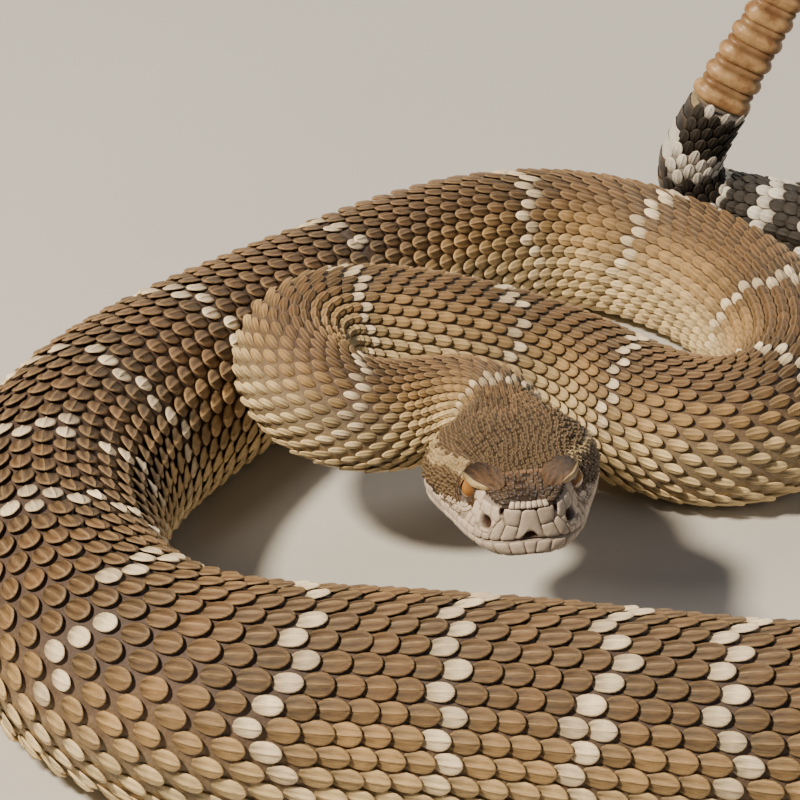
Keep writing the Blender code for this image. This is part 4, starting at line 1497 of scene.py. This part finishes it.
class Finish:
    """A material whose nodes are added one by one."""

    def __init__(self, name, roughness, **fixed):
        self.material = bpy.data.materials.new(name)
        self.material.use_nodes = True
        self.nodes = self.material.node_tree.nodes
        self.shader = self.nodes["Principled BSDF"]
        self.shader.inputs["Roughness"].default_value = roughness
        for key, value in fixed.items():
            self.shader.inputs[key.replace("_", " ")].default_value = value

    def link(self, start, end):
        self.material.node_tree.links.new(start, end)

    def attribute(self, name, output="Fac"):
        """A value that the mesh keeps under a name."""
        node = self.nodes.new("ShaderNodeAttribute")
        node.attribute_name = name
        return node.outputs[output]

    def place(self):
        return self.nodes.new("ShaderNodeTexCoord").outputs["Object"]

    def noise(self, vector, scale, detail=3.0, roughness=0.55):
        """Soft noise, about 0.3 to 0.7."""
        node = self.nodes.new("ShaderNodeTexNoise")
        for name, number in (("Scale", scale), ("Detail", detail), ("Roughness", roughness)):
            node.inputs[name].default_value = number
        self.link(vector, node.inputs["Vector"])
        return node.outputs["Fac"]

    def vector_math(self, operation, vector):
        """A new vector node with one input joined."""
        node = self.nodes.new("ShaderNodeVectorMath")
        node.operation = operation
        self.link(vector, node.inputs[0])
        return node

    def stretched(self, vector, size, shift=None):
        """A vector times a size for each axis, and moved."""
        node = self.vector_math("MULTIPLY_ADD", vector)
        node.inputs[1].default_value = size
        if shift is not None:
            self.link(shift, node.inputs[2])
        return node.outputs[0]

    def length(self, vector):
        return self.vector_math("LENGTH", vector).outputs["Value"]

    def spread(self, value, size):
        """A fixed vector times a number."""
        node = self.nodes.new("ShaderNodeVectorMath")
        node.operation = "SCALE"
        node.inputs[0].default_value = size
        self.link(value, node.inputs["Scale"])
        return node.outputs[0]

    def parts(self, vector):
        node = self.nodes.new("ShaderNodeSeparateXYZ")
        self.link(vector, node.inputs[0])
        return node.outputs

    def span(self, value, low, high, to_low, to_high):
        """A number moved from one span to another, and kept inside it."""
        node = self.nodes.new("ShaderNodeMapRange")
        self.link(value, node.inputs["Value"])
        ends = (("From Min", low), ("From Max", high), ("To Min", to_low), ("To Max", to_high))
        for name, number in ends:
            node.inputs[name].default_value = number
        return node.outputs["Result"]

    def math(self, operation, first, second):
        """Two numbers put together."""
        node = self.nodes.new("ShaderNodeMath")
        node.operation = operation
        for socket, value in zip(node.inputs, (first, second)):
            if isinstance(value, (int, float)):
                socket.default_value = value
            else:
                self.link(value, socket)
        return node.outputs[0]

    def product(self, *values):
        """Numbers multiplied one after the other."""
        return functools.reduce(functools.partial(self.math, "MULTIPLY"), values)

    def mix(self, share, first, second, kind="MIX"):
        node = self.nodes.new("ShaderNodeMix")
        node.data_type = "RGBA"
        node.blend_type = kind
        for index, value in ((0, share), (6, first), (7, second)):
            if isinstance(value, (int, float)):
                node.inputs[index].default_value = value
            elif isinstance(value, tuple):
                node.inputs[index].default_value = (*value, 1.0)
            else:
                self.link(value, node.inputs[index])
        return node.outputs[2]

    def brightness(self, colour, value):
        """A colour times a number."""
        grey = self.nodes.new("ShaderNodeCombineColor")
        for index in range(3):
            self.link(value, grey.inputs[index])
        return self.mix(1.0, colour, grey.outputs[0], "MULTIPLY")

    def lightness(self, colour):
        """How light a colour is."""
        node = self.nodes.new("ShaderNodeRGBToBW")
        self.link(colour, node.inputs[0])
        return node.outputs[0]

    def colour(self, value):
        self.link(value, self.shader.inputs["Base Color"])

    def bump(self, height, strength, distance):
        node = self.nodes.new("ShaderNodeBump")
        node.inputs["Strength"].default_value = strength
        node.inputs["Distance"].default_value = distance
        self.link(height, node.inputs["Height"])
        self.link(node.outputs[0], self.shader.inputs["Normal"])


# Colours that the finishes mix into a marking
# Partly the scales' own pale rims, partly a painted highlight on their rims and keels
GOLDEN_RIM_AND_GLINT = (0.62, 0.44, 0.24)
BROWN_BLOTCH = (0.23, 0.16, 0.10)
BROWN_SEAM = (0.30, 0.21, 0.15)
GREY_SKIN = (0.170, 0.125, 0.110)
# Painted shade in the pits, the nostrils, the notch and the mouth's line
HOLLOW_SHADE = (0.050, 0.022, 0.012)
SOOT_TO_BROWN = (0.020, 0.030)  # markings darker than this stay dark at rims and between scales
IRIS_DARK, IRIS_LIGHT = (0.24, 0.085, 0.02), (0.62, 0.31, 0.085)
IRIS_EDGE = (0.10, 0.045, 0.02)
PUPIL = (0.004, 0.003, 0.003)
PUPIL_SHAPE = (6.2, 1.55, 1.0)  # one over the pupil's half width and half height
EYE_BEHIND = (0.03, 0.02, 0.015)
HORN_DARK, HORN_LIGHT = (0.24, 0.115, 0.045), (0.56, 0.36, 0.17)
HORN_BAND = (0.13, 0.062, 0.028)
FLOOR_DARK, FLOOR_LIGHT = (0.50, 0.49, 0.47), (0.56, 0.55, 0.53)
NOISE = (0.3, 0.7)  # most of a noise lies in this span
BUMP_DEPTH = 0.15 * MM


@functools.lru_cache(maxsize=None)
def scale_finish():
    """Dry scales: their marking, streaks along them, a pale gold rim that is partly the scale's own
    pale margin and partly a painted highlight, a painted highlight along the keel, and painted shade
    towards the root, under the tip of the scale before.
    """
    finish = Finish("scale_finish", 0.5, Specular_IOR_Level=0.34)
    marking = finish.attribute("marking", "Color")
    chance = finish.attribute("chance")
    leaf = finish.attribute("leaf", "Vector")
    shift = finish.spread(chance, (37.0, 53.0, 11.0))
    streaks = finish.noise(finish.stretched(leaf, (1.6, 9.0, 1.0), shift), 1.5, 5.0, 0.70)
    mottle = finish.noise(finish.place(), 210.0, 3.0)
    tone = finish.product(
        finish.span(chance, 0.0, 1.0, 0.66, 1.24),
        finish.span(streaks, *NOISE, 0.58, 1.34),
        finish.span(mottle, *NOISE, 0.80, 1.16),
        # Painted shade: each scale darkens towards its root, under the tip of the scale before
        finish.span(finish.parts(leaf)[0], 0.15, 0.60, 0.28, 1.0),
    )
    colour = finish.brightness(marking, tone)
    # A paler gold for the rims and keels: partly the scales' own pale margins, partly a painted
    # highlight
    pale = finish.brightness(marking, finish.span(chance, 0.0, 1.0, 2.0, 2.8))
    rim_and_glint = finish.mix(0.60, pale, GOLDEN_RIM_AND_GLINT)
    # Painted highlight along the keel, broken up by the streaks
    wear_and_glint = finish.product(finish.attribute("keel"), finish.span(streaks, 0.35, 0.65, 0.25, 0.75))
    rim = finish.product(finish.attribute("rim"), finish.span(streaks, *NOISE, 0.15, 0.95))
    worth = finish.span(finish.lightness(marking), *SOOT_TO_BROWN, 0.10, 1.0)
    finish.colour(finish.mix(finish.product(finish.math("MAXIMUM", wear_and_glint, rim), worth), colour, rim_and_glint))
    height = finish.noise(finish.stretched(leaf, (2.0, 18.0, 1.0), shift), 2.2, 4.0, 0.65)
    finish.bump(height, 0.55, BUMP_DEPTH)
    finish.link(finish.span(streaks, *NOISE, 0.36, 0.62), finish.shader.inputs["Roughness"])
    return finish.material


@functools.lru_cache(maxsize=None)
def plate_finish():
    """Smooth plates and belly scutes: their marking with soft mottling, and a faint grain."""
    finish = Finish("plate_finish", 0.46, Specular_IOR_Level=0.45)
    place = finish.place()
    mottle = finish.noise(place, 420.0, 4.0, 0.6)
    fine = finish.noise(place, 2600.0, 2.0, 0.5)
    tone = finish.product(
        finish.span(finish.attribute("chance"), 0.0, 1.0, 0.84, 1.08),
        finish.span(mottle, *NOISE, 0.82, 1.12),
        finish.span(fine, *NOISE, 0.93, 1.06),
    )
    colour = finish.brightness(finish.attribute("marking", "Color"), tone)
    blotch = finish.span(finish.noise(place, 150.0, 3.0), 0.56, 0.72, 0.0, 0.35)
    colour = finish.mix(blotch, colour, BROWN_BLOTCH)
    finish.colour(finish.mix(finish.product(finish.attribute("rim"), 0.22), colour, BROWN_SEAM))
    finish.bump(finish.math("ADD", finish.product(fine, 0.5), mottle), 0.22, BUMP_DEPTH)
    return finish.material


@functools.lru_cache(maxsize=None)
def skin_finish():
    """Skin between the scales: greyer and darker than its marking, partly its own grey and partly
    painted shade between the scales; finely wrinkled; with painted shade in its hollows.
    """
    finish = Finish("skin_finish", 0.68, Specular_IOR_Level=0.30)
    marking = finish.attribute("marking", "Color")
    place = finish.place()
    # Darker than the marking: partly the skin's own colour, partly painted shade between the scales
    colour = finish.brightness(marking, finish.span(finish.noise(place, 90.0), *NOISE, 0.46, 0.74))
    greyer = finish.span(finish.lightness(marking), *SOOT_TO_BROWN, 0.0, 0.40)
    colour = finish.mix(greyer, colour, GREY_SKIN)
    wrinkles = finish.noise(place, 1500.0, 4.0, 0.6)
    colour = finish.brightness(colour, finish.span(wrinkles, *NOISE, 0.62, 1.05))
    # Painted shade in the pits, the nostrils, the notch and the mouth's line
    finish.colour(finish.mix(finish.attribute("depth"), colour, HOLLOW_SHADE))
    finish.bump(wrinkles, 0.5, 0.2 * MM)
    return finish.material


@functools.lru_cache(maxsize=None)
def eye_finish():
    """A wet eye: a copper iris with fine flecks, an upright pupil and a dark edge."""
    finish = Finish("eye_finish", 0.06, Specular_IOR_Level=0.6, Coat_Weight=1.0, Coat_Roughness=0.02)
    gaze = finish.attribute("gaze", "Vector")
    ahead, up, out = finish.parts(gaze)
    flat = finish.nodes.new("ShaderNodeCombineXYZ")
    finish.link(ahead, flat.inputs[0])
    finish.link(up, flat.inputs[1])
    reach = finish.length(flat.outputs[0])
    slit = finish.length(finish.stretched(flat.outputs[0], PUPIL_SHAPE))
    flecks = finish.noise(finish.stretched(gaze, (5.0, 5.0, 5.0)), 4.0, 5.0, 0.7)
    iris = finish.mix(finish.span(flecks, 0.35, 0.68, 0.0, 1.0), IRIS_DARK, IRIS_LIGHT)
    iris = finish.mix(finish.span(reach, 0.45, 0.95, 0.0, 0.75), iris, IRIS_EDGE)
    iris = finish.mix(finish.span(slit, 0.94, 1.06, 1.0, 0.0), iris, PUPIL)
    finish.colour(finish.mix(finish.span(out, 0.20, 0.05, 0.0, 1.0), iris, EYE_BEHIND))
    return finish.material


@functools.lru_cache(maxsize=None)
def horn_finish():
    """Dry horn: tan with darker bands at the lips of the rings, fine lengthwise scratches."""
    finish = Finish("horn_finish", 0.42, Specular_IOR_Level=0.45, Subsurface_Weight=0.08,
                    Subsurface_Scale=0.002)
    leaf = finish.attribute("leaf", "Vector")
    cloud = finish.noise(finish.place(), 330.0, 4.0, 0.6)
    shift = finish.spread(finish.attribute("chance"), (9, 7, 5))
    scratch = finish.noise(finish.stretched(leaf, (16.0, 2.0, 1.0), shift), 3.0, 4.0, 0.6)
    colour = finish.mix(finish.span(cloud, 0.32, 0.68, 0.0, 1.0), HORN_DARK, HORN_LIGHT)
    band = finish.span(finish.parts(leaf)[0], 0.50, 0.72, 0.0, 0.55)
    colour = finish.mix(band, colour, HORN_BAND)
    finish.colour(finish.brightness(colour, finish.span(scratch, *NOISE, 0.80, 1.12)))
    finish.bump(scratch, 0.30, 0.1 * MM)
    return finish.material


@functools.lru_cache(maxsize=None)
def floor_finish():
    """The studio's plain warm grey floor."""
    finish = Finish("floor_finish", 0.85, Specular_IOR_Level=0.2)
    finish.colour(finish.mix(finish.noise(finish.place(), 6.0, 2.0), FLOOR_DARK, FLOOR_LIGHT))
    return finish.material


# The stage

CAMERA_PLACE = (-0.0378, -0.8583, 0.5250)
CAMERA_TURN = (math.radians(60), 0.0, 0.0)
CAMERA_LENS = 236.25  # in millimetres, for a sensor this wide
SENSOR = 36.0
FLOOR_HALF = 3.0  # in metres
# Each lamp: name, place, what it looks at, width, power in watts, colour
LAMPS = (
    ("key", (-0.80, -0.50, 1.10), (0.0, 0.0, 0.02), 0.18, 42.0, (1.0, 0.86, 0.66)),
    ("fill", (1.05, -0.85, 0.80), (0.0, 0.0, 0.02), 1.2, 2.5, (0.80, 0.88, 1.0)),
    ("rim", (0.35, 1.15, 0.85), (0.0, 0.05, 0.02), 0.6, 8.0, (1.0, 0.92, 0.80)),
)
SKY_COLOUR = (0.74, 0.82, 0.95)
SKY_STRENGTH = 0.12


def make_stage():
    """A floor, three lamps, a pale sky and the camera of the photo."""
    data = bpy.data.meshes.new("floor")
    corners = [(x * FLOOR_HALF, y * FLOOR_HALF, 0) for x, y in ((-1, -1), (1, -1), (1, 1), (-1, 1))]
    data.from_pydata(corners, [], [(0, 1, 2, 3)])
    data.materials.append(floor_finish())
    floor = add_piece("floor", data)
    for name, place, target, width, power, colour in LAMPS:
        lamp = bpy.data.lights.new(name, "AREA")
        lamp.shape = "DISK"
        lamp.size = width
        lamp.energy = power
        lamp.color = colour
        item = add_piece(name, lamp)
        item.location = place
        item.rotation_euler = (Vector(target) - Vector(place)).to_track_quat("-Z", "Y").to_euler()
    world = bpy.data.worlds.new("studio")
    world.use_nodes = True
    background = world.node_tree.nodes["Background"]
    background.inputs["Color"].default_value = (*SKY_COLOUR, 1.0)
    background.inputs["Strength"].default_value = SKY_STRENGTH
    bpy.context.scene.world = world
    lens = bpy.data.cameras.new("camera")
    lens.lens = CAMERA_LENS
    lens.sensor_width = SENSOR
    lens.clip_start = 0.01
    camera = add_piece("camera", lens)
    camera.location = CAMERA_PLACE
    camera.rotation_euler = CAMERA_TURN
    bpy.context.scene.camera = camera


# The nodes that the one skin stands for
FLESH = ["head", "neck", "neck_loop"] + ["body_%d" % number for number in range(1, 11)] + ["tail"]


def keep(item, slot, *nodes):
    """Lets a piece ride on the body and stand for the nodes that it replaces; its slot is not used."""
    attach(item, ROOT)
    if nodes:
        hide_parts(*nodes)


class RattlesnakeLook(bpy.types.PropertyGroup):
    """Sizes of the snake's scales, eyes and rattle, and colours of its markings."""
    scale_width: FloatProperty(
        name="Scale width", description="Width of a body scale as a share of its row",
        default=1.10, min=0.6, max=1.3, subtype="FACTOR")
    scale_lift: FloatProperty(
        name="Tip lift", description="How far the tip of a body scale is lifted",
        default=math.radians(4.5), min=0.0, max=math.radians(20), subtype="ANGLE")
    keel_height: FloatProperty(
        name="Keel height", description="Height of a keel as a share of its scale's depth",
        default=0.46, min=0.0, max=1.0, subtype="FACTOR")
    bar_reach: FloatProperty(
        name="Bar width", description="Half the width of a crossbar, in scales",
        default=0.54, min=0.2, max=2.0)
    grain_height: FloatProperty(
        name="Grain height", description="Thickness of the crown's small scales",
        default=0.50 * MM, min=0.1 * MM, max=1.2 * MM, precision=5, unit="LENGTH")
    eye_sunk: FloatProperty(
        name="Eye depth", description="How far the eye lies below its socket's middle",
        default=0.35 * MM, min=0.0, max=1.0 * MM, precision=5, unit="LENGTH")
    rattle_rings: IntProperty(
        name="Rattle rings", description="Number of the rattle's rings before the button",
        default=8, min=1, max=12)
    back_brown: FloatVectorProperty(
        name="Back", description="Colour of the back's scales",
        subtype="COLOR", default=(0.105, 0.050, 0.018), min=0.0, max=1.0)
    flank_olive: FloatVectorProperty(
        name="Flank", description="Colour of the flank's scales",
        subtype="COLOR", default=(0.34, 0.205, 0.078), min=0.0, max=1.0)
    cream: FloatVectorProperty(
        name="Belly", description="Colour of the belly and the lowest rows",
        subtype="COLOR", default=(0.66, 0.52, 0.28), min=0.0, max=1.0)
    bar_cream: FloatVectorProperty(
        name="Crossbars", description="Colour of the narrow bars over the back",
        subtype="COLOR", default=(0.86, 0.72, 0.50), min=0.0, max=1.0)
    head_brown: FloatVectorProperty(
        name="Crown", description="Colour of the head's top",
        subtype="COLOR", default=(0.066, 0.036, 0.017), min=0.0, max=1.0)
    cheek_brown: FloatVectorProperty(
        name="Cheek", description="Colour of the dark patch behind the eye",
        subtype="COLOR", default=(0.070, 0.038, 0.016), min=0.0, max=1.0)
    face_white: FloatVectorProperty(
        name="Face", description="Colour of the snout, the lips and the chin",
        subtype="COLOR", default=(0.64, 0.53, 0.42), min=0.0, max=1.0)
    stripe_cream: FloatVectorProperty(
        name="Stripe", description="Colour of the stripe behind the eye",
        subtype="COLOR", default=(0.42, 0.31, 0.16), min=0.0, max=1.0)
    tail_ash: FloatVectorProperty(
        name="Tail, pale", description="Colour of the tail's pale rings",
        subtype="COLOR", default=(0.66, 0.63, 0.57), min=0.0, max=1.0)
    tail_soot: FloatVectorProperty(
        name="Tail, dark", description="Colour of the tail's dark rings",
        subtype="COLOR", default=(0.022, 0.018, 0.016), min=0.0, max=1.0)


class RATTLESNAKE_OT_skin(bpy.types.Operator):
    """Makes the one skin of head, neck, body and tail"""
    bl_idname = "rattlesnake.skin"
    bl_label = "Skin"

    def execute(self, context):
        lay_scales.cache_clear()
        lay_head_scales.cache_clear()
        keep(make_skin(skin_finish()), "skin", *FLESH)
        return {"FINISHED"}


class RATTLESNAKE_OT_scales(bpy.types.Operator):
    """Lays the keeled scales over the back, the sides and the tail"""
    bl_idname = "rattlesnake.scales"
    bl_label = "Body scales"

    def execute(self, context):
        shape = leaf_mesh("keeled_scale", settings().keel_height, LEAF)
        for item in make_pieces("body_scales", lay_scales(), shape, scale_finish(), BODY_UNEVEN):
            keep(item, "skin")
        return {"FINISHED"}


class RATTLESNAKE_OT_scutes(bpy.types.Operator):
    """Lays the wide scutes along the belly"""
    bl_idname = "rattlesnake.scutes"
    bl_label = "Belly scutes"

    def execute(self, context):
        keep(make_scutes(plate_finish()), "skin")
        return {"FINISHED"}


class RATTLESNAKE_OT_head_scales(bpy.types.Operator):
    """Lays the small keeled scales of the crown, the cheeks and the throat"""
    bl_idname = "rattlesnake.head_scales"
    bl_label = "Head scales"

    def execute(self, context):
        shape = leaf_mesh("head_scale", GRAIN_KEEL, GRAIN)
        for item in make_pieces("head_scales", lay_head_scales(), shape, scale_finish(), HEAD_UNEVEN):
            keep(item, "skin")
        return {"FINISHED"}


class RATTLESNAKE_OT_plates(bpy.types.Operator):
    """Lays the plates of the lips, the snout, the pits and the brows"""
    bl_idname = "rattlesnake.plates"
    bl_label = "Head plates"

    def execute(self, context):
        plates = Plates()
        add_lips(plates)
        add_front(plates)
        add_snout_top(plates)
        add_eye_rings(plates)
        keep(plates.finish("head_plates", plate_finish()), "skin")
        keep(make_brows(scale_finish()), "skin")
        return {"FINISHED"}


class RATTLESNAKE_OT_eyes(bpy.types.Operator):
    """Makes the two eyes"""
    bl_idname = "rattlesnake.eyes"
    bl_label = "Eyes"

    def execute(self, context):
        for item, node in zip(make_eyes(eye_finish()), ("eye_left", "eye_right")):
            keep(item, "eye", node)
        return {"FINISHED"}


class RATTLESNAKE_OT_rattle(bpy.types.Operator):
    """Makes the rings and the button of the rattle"""
    bl_idname = "rattlesnake.rattle"
    bl_label = "Rattle"

    def execute(self, context):
        rings, button = make_rattle(horn_finish())
        keep(rings, "rattle", "rattle")
        keep(button, "rattle")
        return {"FINISHED"}


class RATTLESNAKE_OT_stage(bpy.types.Operator):
    """Sets up the floor, the lamps and the camera"""
    bl_idname = "rattlesnake.stage"
    bl_label = "Stage"

    def execute(self, context):
        make_stage()
        return {"FINISHED"}


STEPS = (
    RATTLESNAKE_OT_skin,
    RATTLESNAKE_OT_scales,
    RATTLESNAKE_OT_scutes,
    RATTLESNAKE_OT_head_scales,
    RATTLESNAKE_OT_plates,
    RATTLESNAKE_OT_eyes,
    RATTLESNAKE_OT_rattle,
    RATTLESNAKE_OT_stage,
)


class RATTLESNAKE_PT_panel(bpy.types.Panel):
    """Lists the steps that dress the snake"""
    bl_label = "Rattlesnake"
    bl_space_type = "VIEW_3D"
    bl_region_type = "UI"
    bl_category = "Rattlesnake"

    def draw(self, context):
        look = context.scene.rattlesnake
        for name in RattlesnakeLook.__annotations__:
            self.layout.prop(look, name)
        for step in STEPS:
            self.layout.operator(step.bl_idname)


CLASSES = (RattlesnakeLook,) + STEPS + (RATTLESNAKE_PT_panel,)


def register():
    """Adds the settings, the operators and the panel."""
    for item in CLASSES:
        bpy.utils.register_class(item)
    bpy.types.Scene.rattlesnake = PointerProperty(type=RattlesnakeLook)


def unregister():
    """Takes them out again."""
    del bpy.types.Scene.rattlesnake
    for item in reversed(CLASSES):
        bpy.utils.unregister_class(item)


def main():
    """Dresses the snake step by step."""
    register()
    for step in STEPS:
        group, name = step.bl_idname.split(".")
        getattr(getattr(bpy.ops, group), name)()


if __name__ == "__main__":
    main()
